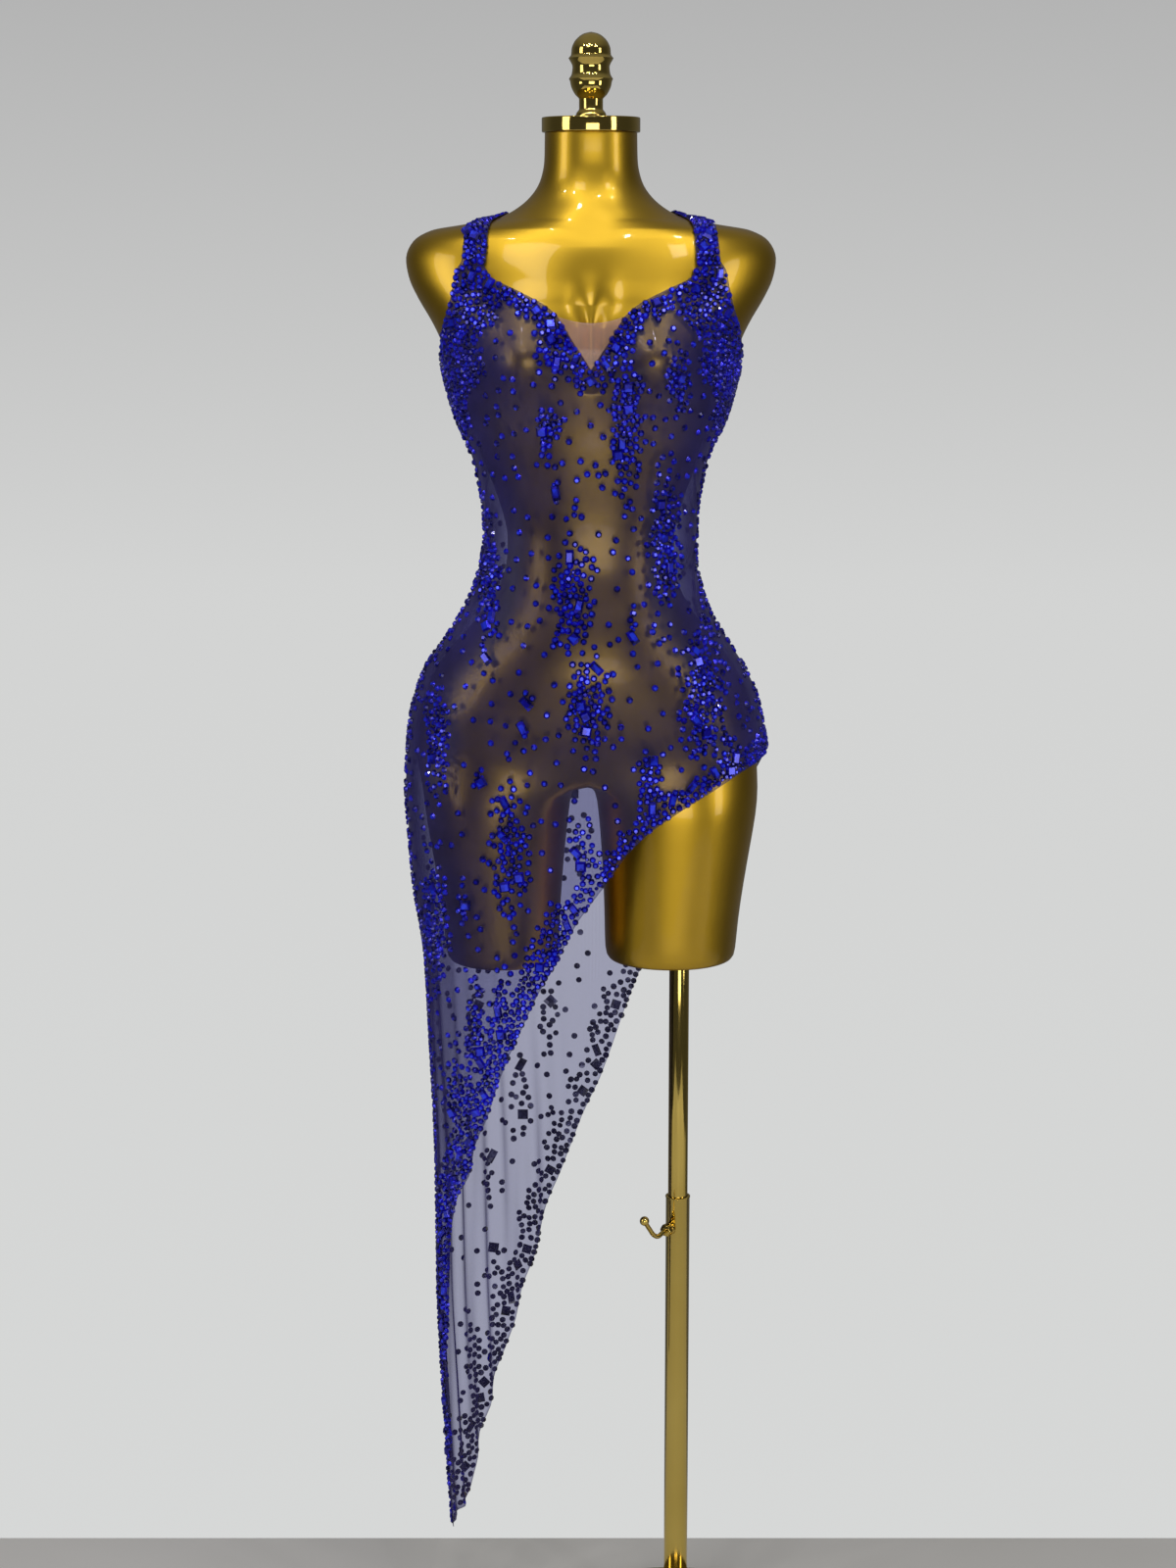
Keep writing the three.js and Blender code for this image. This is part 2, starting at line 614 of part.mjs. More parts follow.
function clampScrew() {
  const nutX = -(POLE.lowerRadius + CLAMP.bossLength + SEAM_GAP + CLAMP.nutLength / 2);
  const route = new THREE.CatmullRomCurve3(HOOK.map((row) => new THREE.Vector3(nutX - row.out, 0, row.up)));
  const section = new THREE.Shape();
  section.absarc(0, 0, HOOK_RADIUS.rod, 0, 2 * Math.PI, false);
  const sweep = { steps: 14, curveSegments: 5, extrudePath: route, bevelEnabled: false };
  const rod = new THREE.ExtrudeGeometry(section, sweep);
  const ball = new THREE.SphereGeometry(HOOK_RADIUS.ball, 14, 10);
  const tip = HOOK[HOOK.length - 1];
  ball.translate(nutX - tip.out - HOOK_RADIUS.ball / 3, 0, tip.up + HOOK_RADIUS.ball / 2);
  const nut = new THREE.CylinderGeometry(CLAMP.nutRadius, CLAMP.nutRadius, CLAMP.nutLength, 6);
  nut.rotateZ(Math.PI / 2);
  nut.translate(nutX, 0, 0);
  const pieces = [rod, ball, nut].map((piece) => toManifold(facingClamp(piece)));
  return fromManifold('clamp_screw', pieces[0].add(pieces[1]).add(pieces[2]), BRIGHT_GOLD);
}

function lowerTube() {
  const bottom = BASE.thickness + SEAM_GAP;
  const wall = [
    [POLE.lowerBore, bottom + 6],
    [POLE.lowerBore, POLE_LIP_Z],
    [POLE.lowerRadius, POLE_LIP_Z],
    [POLE.lowerRadius, bottom],
    [0, bottom],
    [0, bottom + 6],
  ];
  const tube = turned([...wall, wall[0]].reverse().map(([r, h]) => [r, h]), POLE.x, 0, 0, 32);
  const rooted = 1.4;   // how far the boss runs into the tube's wall
  const boss = new THREE.CylinderGeometry(CLAMP.bossRadius, CLAMP.bossRadius, CLAMP.bossLength + rooted, 16);
  boss.rotateZ(Math.PI / 2);
  boss.translate(-(POLE.lowerRadius + (CLAMP.bossLength - rooted) / 2), 0, 0);
  return fromManifold('lower_tube', toManifold(tube).add(toManifold(facingClamp(boss))), BRIGHT_GOLD);
}

function basePlate() {
  const r = BASE.radius;
  const t = BASE.thickness;
  return named('base_plate', turned([[0, 0], [r, 0], [r, t - BASE.edge], [r - BASE.edge, t], [0, t]],
    POLE.x, 0, 0, 56), BRIGHT_GOLD);
}

function baseCollar() {
  const inner = POLE.lowerRadius + SEAM_GAP;
  const z = BASE.thickness + SEAM_GAP;
  const profile = [
    [inner, z],
    [COLLAR.radius, z],
    [COLLAR.radius, z + 6],
    [COLLAR.neckRadius, z + 12],
    [COLLAR.neckRadius, z + COLLAR.height - 2],
    [COLLAR.neckRadius - 2, z + COLLAR.height],
    [inner, z + COLLAR.height],
    [inner, z],
  ];
  return named('base_collar', turned(profile, POLE.x, 0, 0, 32), BRIGHT_GOLD);
}

const upperTube = () => named('upper_tube', turned([
  [0, POLE.upperBottom],
  [POLE.upperRadius, POLE.upperBottom],
  [POLE.upperRadius, POLE_TOP_Z],
  [0, POLE_TOP_Z],
], POLE.x, 0, 0, 32), BRIGHT_GOLD);

const neckRing = () => named('neck_ring', turned([
  [0, 0],
  [NECK_RING.radius, 0],
  [NECK_RING.radius, NECK_RING.height],
  [0, NECK_RING.height],
], 0, 0, NECK_RING.bottom, 48), BRIGHT_GOLD);

const finial = () => named('finial', turned([
  [0, 0],
  ...FINIAL.map((row) => [row.r, row.h]),
  [0, FINIAL[FINIAL.length - 1].h],
], 0, 0, NECK_RING.bottom + NECK_RING.height + SEAM_GAP, 28), BRIGHT_GOLD);

const dress = new THREE.Group();
dress.add(
  wallMesh('front_panel', panelGrid(1), CLOTH_WALL, NAVY_MESH, fromAxis),
  wallMesh('back_panel', panelGrid(-1), CLOTH_WALL, NAVY_MESH, fromAxis),
  wallMesh('nude_insert', insertGrid(), CLOTH_WALL, NUDE_MESH, fromAxis),
  wallMesh('strap_left', strapGrid(1), CLOTH_WALL, NAVY_MESH, fromSeat),
  wallMesh('strap_right', strapGrid(-1), CLOTH_WALL, NAVY_MESH, fromSeat),
);

const stand = new THREE.Group();
stand.add(formMesh(), neckRing(), finial(), upperTube(), lowerTube(), clampScrew(), basePlate(), baseCollar());

const part = new THREE.Group();
part.add(dress, stand);

export default part;
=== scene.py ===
"""Stone-set sheath dress with a diagonal hem, on its limbless dress form and pole stand."""

import logging
import math
import random
from bisect import bisect_right
from collections.abc import Callable, Sequence
from dataclasses import dataclass, field
from enum import Enum

import bmesh
import bpy
import numpy as np
from mathutils import Matrix, Vector


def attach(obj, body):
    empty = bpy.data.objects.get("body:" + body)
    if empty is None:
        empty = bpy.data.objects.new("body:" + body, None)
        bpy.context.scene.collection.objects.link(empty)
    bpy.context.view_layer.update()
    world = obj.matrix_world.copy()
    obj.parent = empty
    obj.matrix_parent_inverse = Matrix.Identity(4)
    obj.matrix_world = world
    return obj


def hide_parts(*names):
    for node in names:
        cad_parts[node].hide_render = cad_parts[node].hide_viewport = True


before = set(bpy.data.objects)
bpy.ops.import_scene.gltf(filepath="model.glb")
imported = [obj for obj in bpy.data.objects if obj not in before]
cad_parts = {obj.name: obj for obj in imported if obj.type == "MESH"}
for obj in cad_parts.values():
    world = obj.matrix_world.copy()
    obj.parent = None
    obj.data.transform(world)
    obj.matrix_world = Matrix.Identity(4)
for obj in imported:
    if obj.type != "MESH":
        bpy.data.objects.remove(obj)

logging.basicConfig(level=logging.INFO, format="%(message)s")
LOG = logging.getLogger("dress")

MM = 0.001
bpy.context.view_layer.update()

Point = tuple[float, float, float]


class Side(Enum):
    """The two cut panels of the dress."""

    FRONT = 1
    BACK = -1


class Cut(Enum):
    """Shapes that the stones are cut to."""

    ROUND = "round"
    SQUARE = "square"
    OBLONG = "oblong"


# Driving sizes, in millimetres


@dataclass(frozen=True)
class Section:
    """One body section: height, half width on the long and short sides, depth to the front and the back."""

    z: float
    w: float
    short: float
    f: float
    b: float


@dataclass(frozen=True)
class ClothSection:
    """One cloth section: height, half width on the long and short sides, depths and superellipse power."""

    z: float
    w: float
    short: float
    f: float
    b: float
    n: float


@dataclass(frozen=True)
class ThighSection:
    """One thigh section.

    It holds the height, the outer side, the depths, and the inner side on the pole's thigh and the other.
    """

    z: float
    outer: float
    front: float
    back: float
    pole_inner: float
    long_inner: float


@dataclass(frozen=True)
class Rise:
    """A soft rise on the torso."""

    side: Side
    x: float
    z: float
    across: float
    up: float
    height: float


@dataclass(frozen=True)
class Crease:
    """A soft ridge (height above 0) or trough between two places on a panel, by ring angle and height."""

    side: Side
    angle: float
    z: float
    to_angle: float
    to_z: float
    width: float
    height: float


@dataclass(frozen=True)
class Drip:
    """A cluster of stones: place, half width, half height, and how many square and oblong stones lead it."""

    x: float
    z: float
    wide: float
    tall: float
    squares: int = 0
    oblongs: int = 0


TORSO = (
    Section(1629, 46, 46, 45, 45),
    Section(1602, 46.5, 46.5, 45, 45),
    Section(1581, 51, 51, 48, 49),
    Section(1566, 61, 61, 53, 53),
    Section(1554, 76, 76, 59, 58),
    Section(1546, 93, 93, 63, 61),
    Section(1540, 125, 125, 66, 64),
    Section(1534, 160, 160, 69, 67),
    Section(1524, 178, 178, 73, 71),
    Section(1507, 186, 186, 79, 77),
    Section(1488, 183, 183, 85, 83),
    Section(1466, 173, 173, 91, 89),
    Section(1444, 160, 160, 94, 93),
    Section(1420, 149, 149, 94, 95),
    Section(1398, 143, 143, 92, 95),
    Section(1372, 138, 138, 89, 93),
    Section(1344, 128, 128, 86, 88),
    Section(1315, 114, 114, 83, 82),
    Section(1285, 101, 101, 79, 75),
    Section(1256, 91, 91, 75, 69),
    Section(1228, 85, 85, 73, 66),
    Section(1203, 86, 85, 74, 67),
    Section(1178, 93, 90, 79, 74),
    Section(1150, 112, 105, 86, 85),
    Section(1122, 136, 126, 91, 95),
    Section(1094, 158, 148, 94, 103),
    Section(1066, 172, 162, 93, 107),
    Section(1040, 180, 169, 89, 106),
    Section(1018, 183, 173, 82, 100),
)
THIGHS = (
    ThighSection(968, 174, 80, 92, 5, 20),
    ThighSection(940, 172, 79, 86, 8, 23),
    ThighSection(905, 166, 77, 81, 11, 27),
    ThighSection(868, 160, 75, 77, 13, 30),
    ThighSection(826, 154, 73, 74, 14.5, 33),
    ThighSection(793, 152, 72, 73, 14.5, 33),
    ThighSection(787, 149, 69, 70, 18, 36),
)
RISES = (
    Rise(Side.FRONT, 72, 1404, 42, 40, 27),
    Rise(Side.BACK, 78, 1030, 58, 58, 20),
    Rise(Side.FRONT, 0, 1110, 70, 55, 6),
)
CLOTH = (
    ClothSection(1398, 148, 148, 112, 99, 2.25),
    ClothSection(1372, 143, 143, 108, 97, 2.25),
    ClothSection(1344, 134, 134, 98, 92, 2.25),
    ClothSection(1315, 121, 120, 90, 87, 2.25),
    ClothSection(1285, 113, 112, 85, 81, 2.25),
    ClothSection(1256, 109, 108, 80, 77, 2.25),
    ClothSection(1228, 108, 107, 78, 75, 2.25),
    ClothSection(1203, 112, 107, 79, 76, 2.25),
    ClothSection(1178, 119, 112, 83, 82, 2.25),
    ClothSection(1150, 132, 122, 90, 93, 2.25),
    ClothSection(1122, 150, 139, 97, 104, 2.25),
    ClothSection(1094, 169, 157, 100, 113, 2.25),
    ClothSection(1066, 180, 170, 99, 118, 2.25),
    ClothSection(1040, 186, 176, 96, 119, 2.3),
    ClothSection(1010, 189, 181, 92, 116, 2.5),
    ClothSection(968, 191, 183, 90, 109, 2.8),
    ClothSection(918, 188, 181, 88, 101, 2.8),
    ClothSection(868, 184, 178, 86, 95, 2.8),
    ClothSection(792, 173, 170, 83, 89, 2.8),
    ClothSection(700, 169, 166, 80, 86, 2.6),
    ClothSection(560, 164, 164, 76, 82, 2.4),
    ClothSection(420, 163, 163, 72, 79, 2.3),
    ClothSection(280, 157, 157, 66, 72, 2.25),
    ClothSection(141, 150, 150, 60, 66, 2.25),
)
# Hems as (ring angle from the long side seam, height)
FRONT_HEM = ((0, 141), (9, 250), (16, 330), (21.5, 402), (24, 465), (28.5, 504), (43.5, 574), (60, 664),
             (75.5, 750), (83, 794), (88, 838), (92, 885), (97, 918), (105, 944), (122.5, 974), (145, 996),
             (180, 1012))
BACK_HEM = ((0, 141), (26, 157), (36, 200), (50, 287), (64, 373), (76, 480), (87, 572), (94.5, 660),
            (102, 748), (111, 812), (130, 898), (155, 968), (180, 1012))
# Top edges as (share of the section's half width, height)
FRONT_TOP = ((0, 1400), (0.1, 1424), (0.22, 1457), (0.4, 1477), (0.52, 1489), (0.55, 1500), (0.68, 1500),
             (0.73, 1481), (0.8, 1461), (0.9, 1440), (0.97, 1418), (1, 1398))
BACK_TOP = ((0, 1405), (0.15, 1410), (0.3, 1432), (0.4, 1465), (0.43, 1480), (0.56, 1480), (0.63, 1462),
            (0.76, 1438), (0.9, 1415), (1, 1398))
# Strap edges as (share of the way over the shoulder, inner edge, outer edge)
STRAP = ((0, 103, 127), (0.15, 101, 124), (0.30, 96, 119), (0.45, 86, 108), (0.60, 80, 102), (0.80, 79, 102),
         (1, 80, 104))

ROUNDNESS = 2.25
CROTCH_FRONT = -66.0
CROTCH_BACK = 78.0
CROTCH_Z = 972.0
CROTCH_SIDE_Z = 1000.0
CROTCH_X = -8.0
CROTCH_ARCH = 12.0
THIGH_SPLIT = 132.0
THIGH_ROUNDNESS = 2.1
POLE_X = 93.0
SOCKET_RADIUS = 10.8
SOCKET_DEPTH = 130.0

# Creases drawn by the tight waist on both sides, the arc over the long side's hip, and a few on the back
WAIST_CREASES = (
    (3, 1240, 16, 1336, 3.0, -1.3),
    (6, 1236, 34, 1308, 3.2, 1.3),
    (9, 1230, 52, 1286, 3.6, -1.2),
    (5, 1218, 40, 1148, 3.2, 1.4),
    (9, 1212, 62, 1166, 3.6, -1.2),
    (3, 1206, 15, 1118, 3.0, -1.3),
    (12, 1224, 66, 1226, 4.0, 0.9),
    (2, 1262, 9, 1378, 2.6, 1.0),
)
HIP_ARC = (
    Crease(Side.FRONT, 49, 1060, 54, 1112, 3.6, 1.5),
    Crease(Side.FRONT, 54, 1112, 73, 1132, 3.4, 1.6),
    Crease(Side.FRONT, 34, 1146, 56, 1138, 3.0, -0.9),
)
# The pinch in the cloth between the cups
PINCH = Crease(Side.FRONT, 90, 1458, 90, 1366, 3.0, 2.4)

DRIPS_FRONT = (
    Drip(-38, 1427, 20, 34, 2, 2),
    Drip(-43, 1339, 14, 25, 1, 1),
    Drip(35, 1350, 18, 76, 3, 3),
    Drip(86, 1395, 12, 32, 2, 0),
    Drip(-36, 1282, 6, 12, 0, 1),
    Drip(-18, 1175, 24, 60, 1, 2),
    Drip(74, 1225, 17, 70, 3, 1),
    Drip(-103, 1185, 12, 60, 1, 1),
    Drip(42, 1147, 5, 16, 0, 1),
    Drip(-107, 1119, 5, 12, 0, 1),
    Drip(-3, 1068, 25, 60, 3, 1),
    Drip(113, 1073, 25, 66, 3, 2),
    Drip(-155, 1032, 15, 57, 1, 0),
    Drip(-63, 1073, 5, 12, 0, 1),
    Drip(-69, 1039, 5, 9, 0, 1),
    Drip(-114, 993, 7, 11, 1, 0),
    Drip(-81, 918, 21, 78, 2, 2),
    Drip(-131, 860, 6, 17, 1, 0),
    Drip(-160, 834, 16, 66, 2, 1),
    Drip(-8, 918, 12, 42, 1, 1),
    Drip(-117, 717, 12, 48, 1, 1),
    Drip(-92, 745, 12, 40, 1, 1),
    Drip(-140, 655, 10, 50, 1, 0),
    Drip(-132, 590, 10, 40, 1, 0),
    Drip(140, 1010, 16, 26, 1, 1),
    Drip(60, 985, 14, 40, 1, 1),
)
DRIPS_BACK = (
    Drip(0, 1360, 18, 44, 2, 1),
    Drip(-70, 1330, 14, 50, 1, 1),
    Drip(72, 1300, 15, 55, 1, 2),
    Drip(-20, 1245, 16, 50, 1, 1),
    Drip(40, 1180, 14, 46, 1, 1),
    Drip(-90, 1150, 14, 52, 1, 0),
    Drip(110, 1110, 16, 56, 2, 1),
    Drip(5, 1090, 20, 60, 2, 1),
    Drip(-60, 1030, 18, 60, 1, 2),
    Drip(64, 1000, 16, 48, 2, 1),
    Drip(-135, 980, 14, 60, 1, 1),
    Drip(-20, 900, 16, 60, 1, 1),
    Drip(-95, 850, 14, 58, 1, 1),
    Drip(20, 840, 12, 36, 1, 0),
    Drip(-45, 700, 13, 60, 1, 0),
    Drip(-76, 609, 15, 60, 1, 1),
    Drip(-125, 700, 10, 55, 1, 0),
    Drip(-111, 521, 9, 40, 0, 1),
    Drip(-104, 410, 10, 45, 1, 0),
    Drip(-130, 330, 8, 40, 0, 0),
)


# Shape tools


class Curve:
    """Smooth curve through the rows of a short table."""

    def __init__(self, rows: Sequence[tuple[float, float]]) -> None:
        """Work out the tangents once.

        Args:
            rows: pairs of key and value, in any order.
        """
        ordered = sorted((float(key), float(value)) for key, value in rows)
        self.keys = [key for key, _ in ordered]
        self.values = [value for _, value in ordered]
        slopes = [
            (self.values[i + 1] - self.values[i]) / (self.keys[i + 1] - self.keys[i])
            for i in range(len(ordered) - 1)
        ]
        inner = [
            0.0 if before * after <= 0 else 2 * before * after / (before + after)
            for before, after in zip(slopes, slopes[1:])
        ]
        self.tangents = [slopes[0], *inner, slopes[-1]]

    def at(self, key: float) -> float:
        """Read the curve.

        Args:
            key: where to read it.

        Returns:
            The value there, held level past the ends.
        """
        if key <= self.keys[0]:
            return self.values[0]
        if key >= self.keys[-1]:
            return self.values[-1]
        i = bisect_right(self.keys, key) - 1
        span = self.keys[i + 1] - self.keys[i]
        s = (key - self.keys[i]) / span
        s2 = s * s
        s3 = s2 * s
        return (
            (2 * s3 - 3 * s2 + 1) * self.values[i]
            + (s3 - 2 * s2 + s) * span * self.tangents[i]
            + (3 * s2 - 2 * s3) * self.values[i + 1]
            + (s3 - s2) * span * self.tangents[i + 1]
        )


def share_of(value: float, full: float) -> float:
    """Share that a value has of a full amount, kept between 0 and 1."""
    return min(1.0, max(0.0, value / full))


def signed_power(value: float, power: float) -> float:
    """Raise a number's size to a power and keep its sign."""
    return math.copysign(abs(value) ** power, value)


def angle_of_share(share: float) -> float:
    """Ring angle at which a section has that share of its half width."""
    return math.asin(min(1.0, share) ** (ROUNDNESS / 2))


def share_of_angle(angle: float) -> float:
    """Share of the half width at a ring angle."""
    return abs(signed_power(math.sin(angle), 2 / ROUNDNESS))


class BodyShape:
    """The dress form's outer surface, from its table of sections."""

    def __init__(self) -> None:
        """Fit a curve to each column of the table."""
        self.w = Curve([(row.z, row.w) for row in TORSO])
        self.short = Curve([(row.z, row.short) for row in TORSO])
        self.f = Curve([(row.z, row.f) for row in TORSO])
        self.b = Curve([(row.z, row.b) for row in TORSO])

    def rise(self, side: Side, x: float, z: float, share: float) -> float:
        """Height of the soft rises at a place.

        Args:
            side: front or back.
            x: distance from the middle.
            z: height.
            share: x as a share of the half width.

        Returns:
            The height of the rise in millimetres.
        """
        fade = 1 - abs(share) ** 6
        total = 0.0
        for bump in RISES:
            if bump.side is side:
                across = (abs(x) - bump.x) / bump.across
                up = (z - bump.z) / bump.up
                total += bump.height * math.exp(-across * across - up * up) * fade
        return total

    def point(self, angle: float, z: float) -> Vector:
        """Point of the torso.

        Args:
            angle: ring angle, 0 at the centre front.
            z: height.

        Returns:
            The point in millimetres.
        """
        s = signed_power(math.sin(angle), 2 / ROUNDNESS)
        c = signed_power(math.cos(angle), 2 / ROUNDNESS)
        side = Side.FRONT if c >= 0 else Side.BACK
        depth = self.f.at(z) if side is Side.FRONT else self.b.at(z)
        x = s * (self.short.at(z) if s > 0 else self.w.at(z))
        return Vector((x, -c * depth - side.value * self.rise(side, x, z, s), z))

    def holds(self, x: float, y: float, z: float) -> bool:
        """Whether a place is inside the torso.

        Args:
            x: distance from the middle.
            y: distance from the middle, minus in front.
            z: height.

        Returns:
            True where it is inside.
        """
        w = self.w.at(z)
        if abs(x) >= w:
            return False
        side = Side.FRONT if y <= 0 else Side.BACK
        share = abs(x) / w
        full = self.f.at(z) if side is Side.FRONT else self.b.at(z)
        depth = full * (1 - share**ROUNDNESS) ** (1 / ROUNDNESS)
        return abs(y) < depth + self.rise(side, x, z, share)


class ClothShape:
    """The dress's surface: it follows the chest, spans the waist, and hangs from the thighs."""

    CLEARANCE = 3.4
    FREE_TOP = 840.0
    FREE_FADE = 320.0
    CUP_Z = 1408.0
    CUP_UP = 42.0
    CUP_EXTRA = 3.0
    BLEND_TOP = 1420.0
    BLEND_BOTTOM = 1398.0
    DEGREE = 2.0

    def __init__(self, body: BodyShape) -> None:
        """Fit a curve to each column of the cloth's table.

        Args:
            body: the form that the cloth lies on.
        """
        self.body = body
        self.w = Curve([(row.z, row.w) for row in CLOTH])
        self.short = Curve([(row.z, row.short) for row in CLOTH])
        self.f = Curve([(row.z, row.f) for row in CLOTH])
        self.b = Curve([(row.z, row.b) for row in CLOTH])
        self.n = Curve([(row.z, row.n) for row in CLOTH])
        self.creases = [*HIP_ARC, PINCH]
        for side in Side:
            for angle, z, to_angle, to_z, width, height in WAIST_CREASES:
                self.creases.append(Crease(side, angle, z, to_angle, to_z, width, height))
                mirrored = (180 - angle - 1.5, z + 7, 180 - to_angle * 0.9, to_z - 5)
                self.creases.append(Crease(side, *mirrored, width * 1.1, height * 0.9))

    def rise(self, side: Side, x: float, z: float, share: float) -> float:
        """How far the cloth stands out over the cups or the seat.

        Args:
            side: front or back.
            x: distance from the middle.
            z: height.
            share: share of the half width.

        Returns:
            Millimetres out from the plain section.
        """
        fade = 1 - abs(share) ** 6
        if side is Side.FRONT:
            up = (z - 1404) / 38
            across = max(0.0, abs(x) - 70) / 42
            valley = max(0.0, 70 - abs(x)) / 70
            return 12 * math.exp(-up * up - across * across) * (1 - 0.75 * valley) * fade
        up = (z - 1030) / 58
        across = max(0.0, abs(x) - 78) / 58
        return 10 * math.exp(-up * up - across * across) * fade

    def on_chest(self, angle: float, z: float) -> Vector:
        """Point just off the form.

        Args:
            angle: ring angle, 0 at the centre front.
            z: height.

        Returns:
            The point in millimetres.
        """
        p = self.body.point(angle, z)
        length = math.hypot(p.x, p.y)
        ease = self.CUP_EXTRA * math.exp(-(((z - self.CUP_Z) / self.CUP_UP) ** 2)) if p.y < 0 else 0.0
        lift = 1 + (self.CLEARANCE + ease) / length
        return Vector((p.x * lift, p.y * lift, z))

    def section(self, angle: float, z: float) -> Vector:
        """Point of the cloth's own section.

        Args:
            angle: ring angle, 0 at the centre front.
            z: height.

        Returns:
            The point in millimetres.
        """
        sine = math.sin(angle)
        w = self.short.at(z) if sine > 0 else self.w.at(z)
        power = 2 / self.n.at(z)
        s = signed_power(sine, power)
        c = signed_power(math.cos(angle), power)
        side = Side.FRONT if c >= 0 else Side.BACK
        depth = self.f.at(z) if side is Side.FRONT else self.b.at(z)
        x = w * s
        return Vector((x, -c * depth - side.value * self.rise(side, x, z, s), z))

    def smooth_point(self, angle: float, z: float) -> Vector:
        """Point of the uncreased cloth.

        Args:
            angle: ring angle, 0 at the centre front.
            z: height.

        Returns:
            The point in millimetres.
        """
        if z >= self.BLEND_TOP:
            return self.on_chest(angle, z)
        own = self.section(angle, z)
        if z < CROTCH_SIDE_Z:
            return own
        chest = self.on_chest(angle, z)
        own.x = math.copysign(max(abs(own.x), abs(chest.x)), own.x)
        own.y = math.copysign(max(abs(own.y), abs(chest.y)), own.y)
        if z > self.BLEND_BOTTOM:
            own = own.lerp(chest, (z - self.BLEND_BOTTOM) / (self.BLEND_TOP - self.BLEND_BOTTOM))
        return own

    def crease_height(self, side: Side, turn: float, z: float) -> float:
        """Height of the creases at a place.

        Args:
            side: front or back.
            turn: degrees round the ring from the long side seam.
            z: height.

        Returns:
            Millimetres out from the smooth cloth.
        """
        total = 0.0
        for crease in self.creases:
            if crease.side is not side:
                continue
            ax = crease.angle * self.DEGREE
            bx = crease.to_angle * self.DEGREE
            dx = bx - ax
            dz = crease.to_z - crease.z
            px = turn * self.DEGREE - ax
            pz = z - crease.z
            if abs(pz - dz / 2) > abs(dz) / 2 + 3 * crease.width + 4:
                continue
            along = (px * dx + pz * dz) / (dx * dx + dz * dz)
            if not 0 < along < 1:
                continue
            away = abs(px * dz - pz * dx) / math.hypot(dx, dz)
            taper = math.sin(math.pi * along) ** 0.7
            total += crease.height * math.exp(-((away / crease.width) ** 2)) * taper
        return total

    def fold_height(self, side: Side, turn: float, z: float) -> float:
        """Height of the soft upright folds in the part that hangs free below the thighs.

        Args:
            side: front or back.
            turn: degrees round the ring from the long side seam.
            z: height.

        Returns:
            Millimetres out from the creased cloth.
        """
        drop = share_of(self.FREE_TOP - z, self.FREE_FADE)
        if drop <= 0:
            return 0.0
        pitch = 13.0 if side is Side.BACK else 17.0
        wave = math.sin(turn * 2 * math.pi / pitch + z * 0.004)
        second = math.sin(turn * 2 * math.pi / (pitch * 0.61) + 1.3 - z * 0.006)
        edge = math.sin(math.pi * min(1.0, turn / 24)) if turn < 12 else 1.0
        return drop * edge * (2.2 * wave + 1.1 * second)

    def point(self, side: Side, turn: float, z: float) -> Vector:
        """Point of the creased cloth.

        Args:
            side: front or back panel.
            turn: degrees round the ring from the long side seam.
            z: height.

        Returns:
            The point in millimetres.
        """
        angle = math.radians(turn - 90)
        if side is Side.BACK:
            angle = math.pi - angle
        p = self.smooth_point(angle, z)
        out = self.crease_height(side, turn, z) + self.fold_height(side, turn, z)
        length = math.hypot(p.x, p.y)
        return Vector((p.x * (1 + out / length), p.y * (1 + out / length), z))


# Object tools


def deselect_all() -> None:
    """Leave object mode's selection empty."""
    if bpy.context.object is not None and bpy.context.object.mode != "OBJECT":
        bpy.ops.object.mode_set(mode="OBJECT")
    bpy.ops.object.select_all(action="DESELECT")


def make_active(obj: bpy.types.Object) -> None:
    """Select one object alone and make it active."""
    deselect_all()
    obj.select_set(True)
    bpy.context.view_layer.objects.active = obj


def apply_modifiers(obj: bpy.types.Object) -> None:
    """Apply every modifier of an object in order."""
    make_active(obj)
    for modifier in list(obj.modifiers):
        bpy.ops.object.modifier_apply(modifier=modifier.name)


def apply_place(obj: bpy.types.Object) -> None:
    """Put an object's place, turn and size into its mesh."""
    make_active(obj)
    bpy.ops.object.transform_apply(location=True, rotation=True, scale=True)


def object_from(name: str, points: Sequence[Point], faces: Sequence[Sequence[int]]) -> bpy.types.Object:
    """Make a mesh object from points in metres.

    Args:
        name: the object's name.
        points: the vertices.
        faces: vertex numbers of each face.

    Returns:
        The new object, linked to the scene.
    """
    mesh = bpy.data.meshes.new(name)
    mesh.from_pydata(points, [], faces)
    mesh.validate()
    obj = bpy.data.objects.new(name, mesh)
    bpy.context.scene.collection.objects.link(obj)
    return obj


